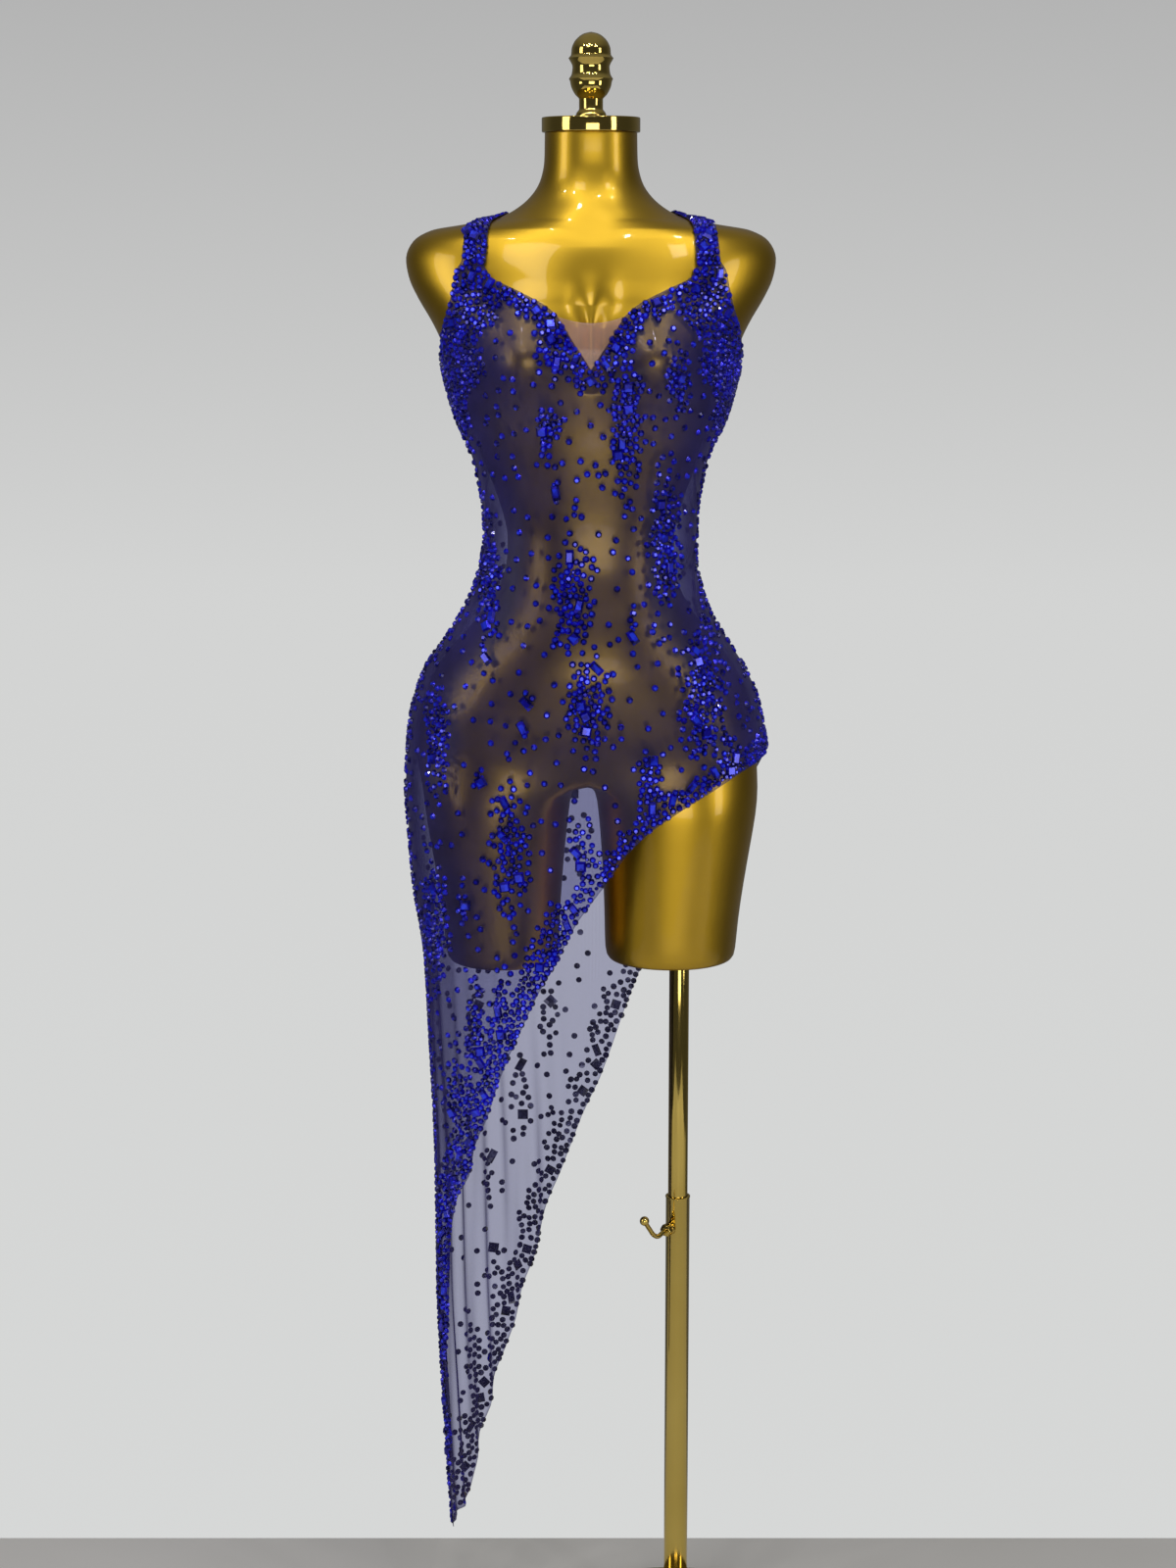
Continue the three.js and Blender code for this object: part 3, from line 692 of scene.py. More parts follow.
def grid_object(name: str, grid: Sequence[Sequence[Vector]], uv: Callable[[int, int], tuple[float, float]],
                outward: Callable[[Vector], Vector]) -> bpy.types.Object:
    """Make one open sheet from a grid of points in millimetres.

    Args:
        name: the object's name.
        grid: rows of points.
        uv: texture place of a row and column.
        outward: roughly outward direction at a point, for facing the sheet.

    Returns:
        The sheet, smooth shaded, with a UV map.
    """
    rows = len(grid)
    columns = len(grid[0])
    points = [tuple(p * MM) for row in grid for p in row]
    faces = []
    middle = (rows // 2, columns // 2)
    a = grid[middle[0]][middle[1]]
    across = grid[middle[0]][middle[1] + 1] - a
    down = grid[middle[0] + 1][middle[1]] - a
    flip = across.cross(down).dot(outward(a)) < 0
    for i in range(rows - 1):
        for j in range(columns - 1):
            k = i * columns + j
            quad = (k, k + 1, k + columns + 1, k + columns)
            faces.append(tuple(reversed(quad)) if flip else quad)
    obj = object_from(name, points, faces)
    layer = obj.data.uv_layers.new(name="cloth")
    for loop in obj.data.loops:
        i, j = divmod(loop.vertex_index, columns)
        layer.data[loop.index].uv = uv(i, j)
    obj.data.polygons.foreach_set("use_smooth", [True] * len(obj.data.polygons))
    return obj


def thicken(obj: bpy.types.Object, thickness: float) -> None:
    """Give a sheet its thickness, outwards.

    Args:
        obj: the sheet.
        thickness: in metres.
    """
    solid = obj.modifiers.new("cloth wall", "SOLIDIFY")
    solid.thickness = thickness
    solid.offset = 1
    solid.use_even_offset = False
    apply_modifiers(obj)


def bevelled_cylinder(name: str, radius: float, depth: float, centre: Point, bevel: float,
                      sides: int = 96) -> bpy.types.Object:
    """Model a turned disc or bar with softened rims.

    Args:
        name: the object's name.
        radius: in metres.
        depth: length along Z, in metres.
        centre: middle of the piece, in metres.
        bevel: width of the softened rim, in metres.
        sides: how many sides the circle has.

    Returns:
        The finished object at the origin.
    """
    deselect_all()
    bpy.ops.mesh.primitive_cylinder_add(vertices=sides, radius=radius, depth=depth, location=centre)
    obj = bpy.context.object
    obj.name = name
    obj.data.name = name
    apply_place(obj)
    rim = obj.modifiers.new("rim", "BEVEL")
    rim.width = bevel
    rim.segments = 3
    rim.limit_method = "ANGLE"
    rim.angle_limit = math.radians(50)
    apply_modifiers(obj)
    bpy.ops.object.shade_smooth_by_angle(angle=math.radians(35))
    return obj


def spun(name: str, profile: Sequence[tuple[float, float]], centre: tuple[float, float],
         steps: int = 72) -> bpy.types.Object:
    """Model a turned piece by spinning its profile round an upright axis.

    Args:
        name: the object's name.
        profile: pairs of radius and height in metres, from the axis back to the axis or closed on itself.
        centre: X and Y of the axis.
        steps: how many steps the spin takes.

    Returns:
        The finished object at the origin.
    """
    mesh = bpy.data.meshes.new(name)
    edges = [(i, i + 1) for i in range(len(profile) - 1)]
    mesh.from_pydata([(centre[0] + r, centre[1], h) for r, h in profile], edges, [])
    obj = bpy.data.objects.new(name, mesh)
    bpy.context.scene.collection.objects.link(obj)
    make_active(obj)
    bpy.ops.object.mode_set(mode="EDIT")
    bpy.ops.mesh.select_all(action="SELECT")
    bpy.ops.mesh.spin(steps=steps, angle=2 * math.pi, center=(centre[0], centre[1], 0), axis=(0, 0, 1))
    bpy.ops.mesh.select_all(action="SELECT")
    bpy.ops.mesh.remove_doubles(threshold=0.00002)
    bpy.ops.mesh.normals_make_consistent(inside=False)
    bpy.ops.object.mode_set(mode="OBJECT")
    bpy.ops.object.shade_smooth_by_angle(angle=math.radians(40))
    return obj


def join(name: str, pieces: Sequence[bpy.types.Object]) -> bpy.types.Object:
    """Join several objects into the first one and name it.

    Args:
        name: the joined piece's name.
        pieces: the objects, of which the first stays.

    Returns:
        The joined object.
    """
    deselect_all()
    for piece in pieces:
        piece.select_set(True)
    bpy.context.view_layer.objects.active = pieces[0]
    bpy.ops.object.join()
    joined = bpy.context.object
    joined.name = name
    joined.data.name = name
    return joined


# Finishes


def new_material(name: str) -> tuple[bpy.types.Material, bpy.types.NodeTree, bpy.types.Node]:
    """Start a node material.

    Args:
        name: the material's name.

    Returns:
        The material, its node tree and its Principled node.
    """
    material = bpy.data.materials.new(name)
    material.use_nodes = True
    tree = material.node_tree
    return material, tree, tree.nodes["Principled BSDF"]


def noise_ramp(tree: bpy.types.NodeTree, scale: float, low: tuple[float, ...], high: tuple[float, ...],
               spread: tuple[float, float] = (0.35, 0.65)) -> bpy.types.NodeSocket:
    """Colour that drifts between two tones over the object.

    Args:
        tree: the node tree.
        scale: noise scale, per metre.
        low: first colour.
        high: second colour.
        spread: where on the noise the two colours stand.

    Returns:
        The colour output.
    """
    place = tree.nodes.new("ShaderNodeTexCoord")
    noise = tree.nodes.new("ShaderNodeTexNoise")
    noise.inputs["Scale"].default_value = scale
    noise.inputs["Detail"].default_value = 3
    ramp = tree.nodes.new("ShaderNodeValToRGB")
    ramp.color_ramp.elements[0].position = spread[0]
    ramp.color_ramp.elements[0].color = (*low, 1)
    ramp.color_ramp.elements[1].position = spread[1]
    ramp.color_ramp.elements[1].color = (*high, 1)
    tree.links.new(place.outputs["Object"], noise.inputs["Vector"])
    tree.links.new(noise.outputs["Fac"], ramp.inputs["Fac"])
    return ramp.outputs["Color"]


def add_bump(tree: bpy.types.NodeTree, shader: bpy.types.Node, scale: float, strength: float,
             distance: float) -> None:
    """Add a fine noise bump to a shader.

    Args:
        tree: the node tree.
        shader: the shader that gets the bump.
        scale: noise scale, per metre.
        strength: bump strength.
        distance: bump height in metres.
    """
    place = tree.nodes.new("ShaderNodeTexCoord")
    noise = tree.nodes.new("ShaderNodeTexNoise")
    noise.inputs["Scale"].default_value = scale
    noise.inputs["Detail"].default_value = 2
    bump = tree.nodes.new("ShaderNodeBump")
    bump.inputs["Strength"].default_value = strength
    bump.inputs["Distance"].default_value = distance
    tree.links.new(place.outputs["Object"], noise.inputs["Vector"])
    tree.links.new(noise.outputs["Fac"], bump.inputs["Height"])
    tree.links.new(bump.outputs["Normal"], shader.inputs["Normal"])


@dataclass(frozen=True)
class GoldFinish:
    """Metallic gold, painted or plated."""

    name: str
    low: tuple[float, float, float]
    high: tuple[float, float, float]
    roughness: float
    coat: float
    coat_roughness: float
    grain: float

    def material(self) -> bpy.types.Material:
        """Build the material."""
        material, tree, shader = new_material(self.name)
        tree.links.new(noise_ramp(tree, 9, self.low, self.high), shader.inputs["Base Color"])
        shader.inputs["Metallic"].default_value = 1
        shader.inputs["Roughness"].default_value = self.roughness
        shader.inputs["Coat Weight"].default_value = self.coat
        shader.inputs["Coat Roughness"].default_value = self.coat_roughness
        add_bump(tree, shader, 900, self.grain, 0.0003)
        return material


@dataclass(frozen=True)
class SheerFinish:
    """Sheer stretch mesh: see-through face on, closer at a slant, with a fine knit."""

    name: str
    yarn: tuple[float, float, float]
    tint: tuple[float, float, float]
    open_cover: float
    slant_cover: float
    sheen: float

    def material(self) -> bpy.types.Material:
        """Build the material."""
        material, tree, shader = new_material(self.name)
        links = tree.links
        shade = tuple(0.7 * part for part in self.yarn)
        links.new(noise_ramp(tree, 30, shade, self.yarn), shader.inputs["Base Color"])
        shader.inputs["Roughness"].default_value = 0.36
        shader.inputs["Sheen Weight"].default_value = self.sheen
        shader.inputs["Sheen Roughness"].default_value = 0.35
        shader.inputs["Sheen Tint"].default_value = (0.45, 0.45, 1, 1)
        place = tree.nodes.new("ShaderNodeUVMap")
        place.uv_map = "cloth"
        knit = []
        for direction in ("X", "Y"):
            wave = tree.nodes.new("ShaderNodeTexWave")
            wave.bands_direction = direction
            wave.inputs["Scale"].default_value = 330
            wave.inputs["Distortion"].default_value = 0.6
            links.new(place.outputs["UV"], wave.inputs["Vector"])
            knit.append(wave)
        weave = tree.nodes.new("ShaderNodeMath")
        weave.operation = "MAXIMUM"
        links.new(knit[0].outputs["Fac"], weave.inputs[0])
        links.new(knit[1].outputs["Fac"], weave.inputs[1])
        bump = tree.nodes.new("ShaderNodeBump")
        bump.inputs["Strength"].default_value = 0.12
        bump.inputs["Distance"].default_value = 0.0002
        links.new(weave.outputs["Value"], bump.inputs["Height"])
        links.new(bump.outputs["Normal"], shader.inputs["Normal"])
        facing = tree.nodes.new("ShaderNodeLayerWeight")
        facing.inputs["Blend"].default_value = 0.57
        cover = tree.nodes.new("ShaderNodeMapRange")
        cover.inputs["To Min"].default_value = self.open_cover
        cover.inputs["To Max"].default_value = self.slant_cover
        links.new(facing.outputs["Facing"], cover.inputs["Value"])
        knit_cover = tree.nodes.new("ShaderNodeMapRange")
        knit_cover.inputs["To Min"].default_value = 0.88
        knit_cover.inputs["To Max"].default_value = 1.08
        links.new(weave.outputs["Value"], knit_cover.inputs["Value"])
        both = tree.nodes.new("ShaderNodeMath")
        both.operation = "MULTIPLY"
        both.use_clamp = True
        links.new(cover.outputs["Result"], both.inputs[0])
        links.new(knit_cover.outputs["Result"], both.inputs[1])
        clear = tree.nodes.new("ShaderNodeBsdfTransparent")
        clear.inputs["Color"].default_value = (*self.tint, 1)
        mix = tree.nodes.new("ShaderNodeMixShader")
        output = tree.nodes["Material Output"]
        links.new(both.outputs["Value"], mix.inputs["Fac"])
        links.new(clear.outputs["BSDF"], mix.inputs[1])
        links.new(shader.outputs["BSDF"], mix.inputs[2])
        links.new(mix.outputs["Shader"], output.inputs["Surface"])
        return material


@dataclass(frozen=True)
class StoneFinish:
    """Faceted glass over foil, or the foil's dull back; the glass comes as a darker crown with painted shade
    and a lighter table with a painted highlight.
    """

    name: str
    dark: tuple[float, float, float]
    bright: tuple[float, float, float]
    metallic: float
    roughness: float
    coat: float

    def material(self) -> bpy.types.Material:
        """Build the material."""
        material, tree, shader = new_material(self.name)
        place = tree.nodes.new("ShaderNodeTexCoord")
        cells = tree.nodes.new("ShaderNodeTexVoronoi")
        cells.inputs["Scale"].default_value = 170
        ramp = tree.nodes.new("ShaderNodeValToRGB")
        ramp.color_ramp.elements[0].position = 0.2
        ramp.color_ramp.elements[0].color = (*self.dark, 1)
        ramp.color_ramp.elements[1].position = 0.85
        ramp.color_ramp.elements[1].color = (*self.bright, 1)
        split = tree.nodes.new("ShaderNodeSeparateColor")
        tree.links.new(place.outputs["Object"], cells.inputs["Vector"])
        tree.links.new(cells.outputs["Color"], split.inputs["Color"])
        tree.links.new(split.outputs["Red"], ramp.inputs["Fac"])
        tree.links.new(ramp.outputs["Color"], shader.inputs["Base Color"])
        shader.inputs["Metallic"].default_value = self.metallic
        shader.inputs["Roughness"].default_value = self.roughness
        shader.inputs["Coat Weight"].default_value = self.coat
        shader.inputs["Coat Roughness"].default_value = 0.03
        return material


FORM_GOLD = GoldFinish("form gold paint", (0.54, 0.335, 0.024), (0.60, 0.375, 0.03), 0.37, 0.4, 0.05, 0.04)
BRIGHT_GOLD = GoldFinish("bright gold plate", (0.66, 0.48, 0.11), (0.74, 0.55, 0.14), 0.07, 0.2, 0.04, 0.02)
NAVY = SheerFinish("navy power mesh", (0.044, 0.036, 0.19), (0.82, 0.825, 0.935), 0.13, 0.92, 0.04)
NUDE = SheerFinish("nude mesh", (0.68, 0.45, 0.36), (0.97, 0.90, 0.88), 0.3, 0.9, 0.04)
# The crown's darker blue and the table's lighter blue, paler cyan on some tables, are painted shade and
# painted highlight on one blue glass; the foil back's grey is its own colour.
STONE = StoneFinish("royal blue crown painted shade", (0.0025, 0.001, 0.10), (0.010, 0.004, 0.60), 0.5, 0.25, 0.25)
STONE_TABLE_PAINTED_HIGHLIGHT = StoneFinish("royal blue table painted highlight", (0.004, 0.002, 0.36), (0.016, 0.045, 1.0), 0.45, 0.2, 0.5)
STONE_BACK = StoneFinish("stone foil back", (0.010, 0.010, 0.018), (0.10, 0.10, 0.13), 0.85, 0.3, 0.0)


# The form


@dataclass
class DressForm:
    """Limbless form: torso, shoulder caps and two thigh ends, with the socket for the pole."""

    body: BodyShape
    ring_steps: int = 64
    inner_steps: int = 20
    finest: float = 10.0
    crisp: float = 0.6
    cleft_deep: float = 10.5
    cleft_top: float = 1518.0
    cleft_foot: float = 1376.0
    dip_deep: float = 2.6
    dip_z: float = 1537.0
    chest_low: float = 1370.0
    chest_high: float = 1560.0
    chest_wide: float = 106.0

    def heights(self) -> list[float]:
        """Heights of the torso's rings, closer where the shoulders turn over."""
        heights = []
        for upper, lower in zip(TORSO, TORSO[1:]):
            parts = max(1, math.ceil(max(upper.z - lower.z, abs(upper.w - lower.w)) / self.finest))
            heights.extend(upper.z + (lower.z - upper.z) * k / parts for k in range(parts))
        heights.append(TORSO[-1].z)
        return heights

    def build(self) -> bpy.types.Object:
        """Model the form.

        Returns:
            The form as one closed object.
        """
        points: list[Vector] = []
        faces: list[tuple[int, ...]] = []

        def add(p: Vector) -> int:
            """Keep a point and give its number."""
            points.append(p)
            return len(points) - 1

        def strip(upper: list[int], lower: list[int]) -> None:
            """Join two rings with quads."""
            count = len(upper)
            for k in range(count):
                after = (k + 1) % count
                faces.append((upper[k], lower[k], lower[after], upper[after]))

        steps = self.ring_steps
        angles = [2 * math.pi * k / steps for k in range(steps)]
        top = TORSO[0].z
        rings = []
        levels = [(top, 0.96), (top, 1.0), (top - self.crisp, 1.0)]
        levels.extend((z, 1.0) for z in self.heights()[1:])
        for z, spread in levels:
            ring = [self.body.point(angle, z) for angle in angles]
            rings.append([add(Vector((p.x * spread, p.y * spread, p.z))) for p in ring])
        low_ring = []
        for angle in angles:
            p = self.body.point(angle, TORSO[-1].z)
            middle = (1 - abs(math.sin(angle))) ** 2
            depth = CROTCH_FRONT if p.y < 0 else CROTCH_BACK
            z = CROTCH_SIDE_Z + (CROTCH_Z + CROTCH_ARCH - CROTCH_SIDE_Z) * middle
            low_ring.append(add(Vector((p.x * 0.99, p.y + (depth - p.y) * middle, z))))
        rings.append(low_ring)
        for upper, lower in zip(rings, rings[1:]):
            strip(upper, lower)
        faces.append(tuple(rings[0]))
        under = []
        for m in range(1, self.inner_steps):
            s = m / self.inner_steps
            y = CROTCH_FRONT + (CROTCH_BACK - CROTCH_FRONT) * s
            middle = math.sin(math.pi * s)
            under.append(add(Vector((CROTCH_X * middle, y, CROTCH_Z + CROTCH_ARCH * (1 - middle)))))
        half = steps // 2
        for side in (1, -1):
            loop = [low_ring[(side * k) % steps] for k in range(half + 1)] + under[::-1]
            for row in THIGHS:
                inner = row.pole_inner if side > 0 else row.long_inner
                lower = []
                for k in range(len(loop)):
                    if k <= half:
                        degrees = -THIGH_SPLIT + 2 * THIGH_SPLIT * k / half
                    else:
                        degrees = THIGH_SPLIT + 2 * (180 - THIGH_SPLIT) * (k - half) / self.inner_steps
                    a = math.radians(degrees)
                    c = signed_power(math.cos(a), 2 / THIGH_ROUNDNESS)
                    s = signed_power(math.sin(a), 2 / THIGH_ROUNDNESS)
                    x = (row.outer + inner) / 2 + (row.outer - inner) / 2 * c
                    lower.append(add(Vector((side * x, s * (row.front if s < 0 else row.back), row.z))))
                if side > 0:
                    strip(loop, lower)
                else:
                    strip(loop[::-1], lower[::-1])
                loop = lower
            centre = sum((points[number] for number in loop), Vector()) / len(loop)
            inset = [add(centre.lerp(points[number], 0.93)) for number in loop]
            if side > 0:
                strip(loop, inset)
            else:
                strip(loop[::-1], inset[::-1])
            faces.append(tuple(inset if side < 0 else inset[::-1]))
        obj = object_from("dress_form", [tuple(p * MM) for p in points], faces)
        make_active(obj)
        bpy.ops.object.mode_set(mode="EDIT")
        bpy.ops.mesh.select_all(action="SELECT")
        bpy.ops.mesh.normals_make_consistent(inside=False)
        bpy.ops.object.mode_set(mode="OBJECT")
        smooth = obj.modifiers.new("smooth", "SUBSURF")
        smooth.levels = 1
        smooth.render_levels = 1
        apply_modifiers(obj)
        self.model_chest(obj)
        self.bore_socket(obj)
        make_active(obj)
        bpy.ops.object.shade_smooth_by_angle(angle=math.radians(50))
        return obj

    def chest_relief(self, x: float, z: float) -> tuple[float, float]:
        """How the chest's modelling moves a place.

        Args:
            x: distance from the middle.
            z: height.

        Returns:
            Millimetres inward for the cleft, and up for the edge between neck and chest.
        """
        deep = share_of(self.cleft_top - z, 56) ** 1.4 * share_of(z - self.cleft_foot, 24)
        wide = 9 + 24 * share_of(z - 1440, 72)
        cleft = deep * self.cleft_deep * math.exp(-((x / wide) ** 2))
        dip = -self.dip_deep * math.exp(-(((z - self.dip_z) / 11) ** 2)) * math.exp(-((x / 26) ** 2))
        return cleft, dip

    def model_chest(self, obj: bpy.types.Object) -> None:
        """Divide the chest's faces finely and model its cleft and upper edge.

        Args:
            obj: the form.
        """
        mesh = obj.data
        for part in (mesh.vertices, mesh.edges, mesh.polygons):
            part.foreach_set("select", [False] * len(part))
        bpy.context.tool_settings.mesh_select_mode = (False, False, True)
        for face in mesh.polygons:
            x, y, z = face.center / MM
            near = abs(x) < self.chest_wide + 2 and self.chest_low - 4 < z < self.chest_high + 2
            face.select = y < 0 and near
        make_active(obj)
        bpy.ops.object.mode_set(mode="EDIT")
        bpy.ops.mesh.subdivide(number_cuts=4, ngon=True)
        bpy.ops.object.mode_set(mode="OBJECT")
        bpy.context.tool_settings.mesh_select_mode = (True, False, False)
        for vertex in mesh.vertices:
            x, y, z = vertex.co / MM
            if y >= 0 or abs(x) >= self.chest_wide or not self.chest_low < z < self.chest_high:
                continue
            w = self.body.short.at(z) if x > 0 else self.body.w.at(z)
            share = min(1.0, abs(x) / w)
            plain = self.body.f.at(z) * (1 - share**ROUNDNESS) ** (1 / ROUNDNESS)
            plain += self.body.rise(Side.FRONT, x, z, share)
            inner = share_of(z - self.chest_low - 2, 14) * share_of(self.dip_z - 3 - z, 8)
            inner *= share_of(self.chest_wide - 2 - abs(x), 14)
            cleft, dip = self.chest_relief(x, z)
            vertex.co.y = (y + (-plain - y) * inner + cleft) * MM
            vertex.co.z = (z + dip * share_of(-y - 40, 20)) * MM

    def bore_socket(self, obj: bpy.types.Object) -> None:
        """Cut the round socket for the pole out of the left thigh end.

        Args:
            obj: the form.
        """
        deselect_all()
        depth = SOCKET_DEPTH + 20
        bottom = THIGHS[-1].z
        bpy.ops.mesh.primitive_cylinder_add(
            vertices=48, radius=SOCKET_RADIUS * MM, depth=depth * MM,
            location=(POLE_X * MM, 0, (bottom + SOCKET_DEPTH - depth / 2) * MM))
        cutter = bpy.context.object
        bore = obj.modifiers.new("socket", "BOOLEAN")
        bore.operation = "DIFFERENCE"
        bore.object = cutter
        bore.solver = "EXACT"
        apply_modifiers(obj)
        bpy.data.objects.remove(cutter, do_unlink=True)

    def dress(self) -> bpy.types.Object:
        """Build, paint and place the form."""
        obj = self.build()
        obj.data.materials.append(FORM_GOLD.material())
        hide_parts("form")
        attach(obj, "display")
        LOG.info("dress form: %d faces", len(obj.data.polygons))
        return obj


# The cloth


@dataclass
class Panel:
    """One cut panel of the dress."""

    side: Side
    shape: ClothShape
    name: str
    node: str
    flat: tuple[float, float]
    area: float
    widest_column: float = 1.7
    rows: int = 150
    wall: float = 0.6
    grid: list[list[Vector]] = field(default_factory=list)
    turns: list[float] = field(default_factory=list)

    def __post_init__(self) -> None:
        """Fit the top edge and the hem, and lay out the grid."""
        self.top_rows = FRONT_TOP if self.side is Side.FRONT else BACK_TOP
        self.top = Curve(self.top_rows)
        self.hem = Curve(FRONT_HEM if self.side is Side.FRONT else BACK_HEM)
        corners = [math.degrees(angle_of_share(share)) for share, _ in self.top_rows]
        right = []
        for start, end in zip(corners, corners[1:]):
            parts = math.ceil((end - start) / self.widest_column)
            right.extend(start + (end - start) * k / parts for k in range(parts))
        right.append(89.93)
        self.turns = [90 - turn for turn in reversed(right[1:])] + [90 + turn for turn in right]
        for i in range(self.rows + 1):
            v = i / self.rows
            self.grid.append([self.at(turn, v) for turn in self.turns])

    def top_z(self, turn: float) -> float:
        """Height of the top edge at a ring angle."""
        return self.top.at(share_of_angle(math.radians(turn - 90)))

    def at(self, turn: float, v: float) -> Vector:
        """Point of the panel: v is 0 at the top edge and 1 at the hem."""
        top = self.top_z(turn)
        return self.shape.point(self.side, turn, top + (self.hem.at(turn) - top) * v)

    def build(self) -> bpy.types.Object:
        """Model the panel as a thin closed shell."""
        obj = grid_object(
            self.name, self.grid,
            lambda i, j: (self.turns[j] * self.shape.DEGREE * MM, self.grid[i][j].z * MM),
            lambda p: Vector((p.x, p.y, 0)))
        thicken(obj, self.wall * MM)
        return obj

    def dress(self, material: bpy.types.Material) -> bpy.types.Object:
        """Build, dye and place the panel.

        Args:
            material: the sheer mesh.

        Returns:
            The panel's object.
        """
        obj = self.build()
        obj.data.materials.append(material)
        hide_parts(self.node)
        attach(obj, "display")
        LOG.info("%s: %d faces", self.name, len(obj.data.polygons))
        return obj


@dataclass
class NudeInsert:
    """Skin-coloured mesh in the V of the neckline."""

    shape: ClothShape
    reach: float = 0.215
    top_z: float = 1453.0
    dip: float = 8.0
    columns: int = 44
    rows: int = 18
    seam: float = 0.3

    def build(self) -> bpy.types.Object:
        """Model the insert as a thin closed shell."""
        edge = Curve(FRONT_TOP)
        grid = []
        for i in range(self.rows + 1):
            row = []
            for j in range(self.columns + 1):
                across = -1 + 2 * j / self.columns
                share = self.reach * abs(across)
                low = edge.at(share) + self.seam
                high = max(low + 0.4, self.top_z - self.dip * (1 - across * across))
                turn = 90 + math.degrees(math.copysign(angle_of_share(share), across))
                row.append(self.shape.point(Side.FRONT, turn, high + (low - high) * i / self.rows))
            grid.append(row)
        obj = grid_object("nude_insert_mesh", grid, lambda i, j: (grid[i][j].x * MM, grid[i][j].z * MM),
                          lambda p: Vector((p.x, p.y, 0)))
        thicken(obj, 0.5 * MM)
        return obj

    def dress(self) -> bpy.types.Object:
        """Build, dye and place the insert."""
        obj = self.build()
        obj.data.materials.append(NUDE.material())
        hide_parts("nude_insert")
        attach(obj, "display")
        LOG.info("nude insert: %d faces", len(obj.data.polygons))
        return obj


@dataclass
class Strap:
    """Shoulder strap, laid over the shoulder from panel to panel."""

    shape: ClothShape
    sign: int
    name: str
    node: str
    rows: int = 64
    columns: int = 10
    lift: float = 1.1
    seat_z: float = 1462.0
    front_z: float = 1500.0
    back_z: float = 1480.0
    front_shares: tuple[float, float] = (0.55, 0.68)
    back_shares: tuple[float, float] = (0.43, 0.56)
    grid: list[list[Vector]] = field(default_factory=list)

    def shoulder_point(self, x: float, turn: float, lift: float) -> Vector:
        """Where a ray from the seat axis leaves the form.

        Args:
            x: distance from the middle.
            turn: turn of the ray from straight up, to the back.
            lift: how far past the form the point lies.

        Returns:
            The point in millimetres.
        """
        low = 5.0
        high = 160.0
        for _ in range(26):
            r = (low + high) / 2
            z = self.seat_z + r * math.cos(turn)
            if z < TORSO[0].z and self.shape.body.holds(x, r * math.sin(turn), z):
                low = r
            else:
                high = r
        r = low + lift
        return Vector((x, r * math.sin(turn), self.seat_z + r * math.cos(turn)))

    def lay(self) -> None:
        """Work out the strap's grid of points."""
        inner = Curve([(along, edge) for along, edge, _ in STRAP])
        outer = Curve([(along, edge) for along, _, edge in STRAP])
        self.grid = [[] for _ in range(self.rows + 1)]
        for j in range(self.columns + 1):
            t = j / self.columns
            front_angle = angle_of_share(self.front_shares[0] * (1 - t) + self.front_shares[1] * t)
            back_angle = angle_of_share(self.back_shares[0] * (1 - t) + self.back_shares[1] * t)
            front = self.shape.on_chest(front_angle, self.front_z)
            back = self.shape.on_chest(math.pi - back_angle, self.back_z)
            start = math.atan2(front.y, front.z - self.seat_z)
            end = math.atan2(back.y, back.z - self.seat_z)
            for i in range(self.rows + 1):
                along = i / self.rows
                x = inner.at(along) * (1 - t) + outer.at(along) * t
                lift = self.lift + (self.shape.CLEARANCE - self.lift) * abs(2 * along - 1) ** 3
                p = self.shoulder_point(x, start + (end - start) * along, lift)
                ends = {0: front, self.rows: back}
                p = ends.get(i, p)
                self.grid[i].append(Vector((self.sign * p.x, p.y, p.z)))

    def dress(self, material: bpy.types.Material) -> bpy.types.Object:
        """Build, dye and place the strap.

        Args:
            material: the sheer mesh.

        Returns:
            The strap's object.
        """
        self.lay()
        obj = grid_object(self.name, self.grid, lambda i, j: (j * 0.0024, i * 0.0032),
                          lambda p: Vector((0, p.y, p.z - self.seat_z)))
        thicken(obj, 0.6 * MM)
        obj.data.materials.append(material)
        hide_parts(self.node)
        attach(obj, "display")
        LOG.info("%s: %d faces", self.name, len(obj.data.polygons))
        return obj


# The stones


@dataclass(frozen=True)
class StoneCut:
    """One shape of stone: half sizes of its flat back, table share, and height in millimetres."""

    cut: Cut
    half_x: float
    half_y: float
    table: float
    height: float
    sides: int

    def model(self) -> tuple[np.ndarray, list[tuple[int, ...]]]:
        """Model the stone with its flat back on z = 0.

        Returns:
            Its vertices in millimetres and its faces, the back first and the table last.
        """
        deselect_all()
        turn = math.pi / self.sides if self.sides == 4 else 0.0
        bpy.ops.mesh.primitive_cone_add(vertices=self.sides, radius1=1, radius2=self.table, depth=self.height,
                                        location=(0, 0, self.height / 2), rotation=(0, 0, turn))
        obj = bpy.context.object
        spread = math.sqrt(2) if self.sides == 4 else 1.0
        apply_place(obj)
        obj.scale = (spread, spread, 1)
        apply_place(obj)
        size = np.array([self.half_x, self.half_y, 1.0])
        vertices = np.array([tuple(v.co) for v in obj.data.vertices]) * size
        faces = sorted(obj.data.polygons, key=lambda p: (p.normal.z > 0.9, p.normal.z > -0.9))
        order = [tuple(p.vertices) for p in faces]
        bpy.data.objects.remove(obj, do_unlink=True)
        return vertices, order


STONE_CUTS = (
    StoneCut(Cut.ROUND, 3.5, 3.5, 0.5, 2.3, 8),
    StoneCut(Cut.SQUARE, 5.6, 5.6, 0.62, 3.0, 4),
    StoneCut(Cut.OBLONG, 4.2, 7.4, 0.6, 3.0, 4),
)


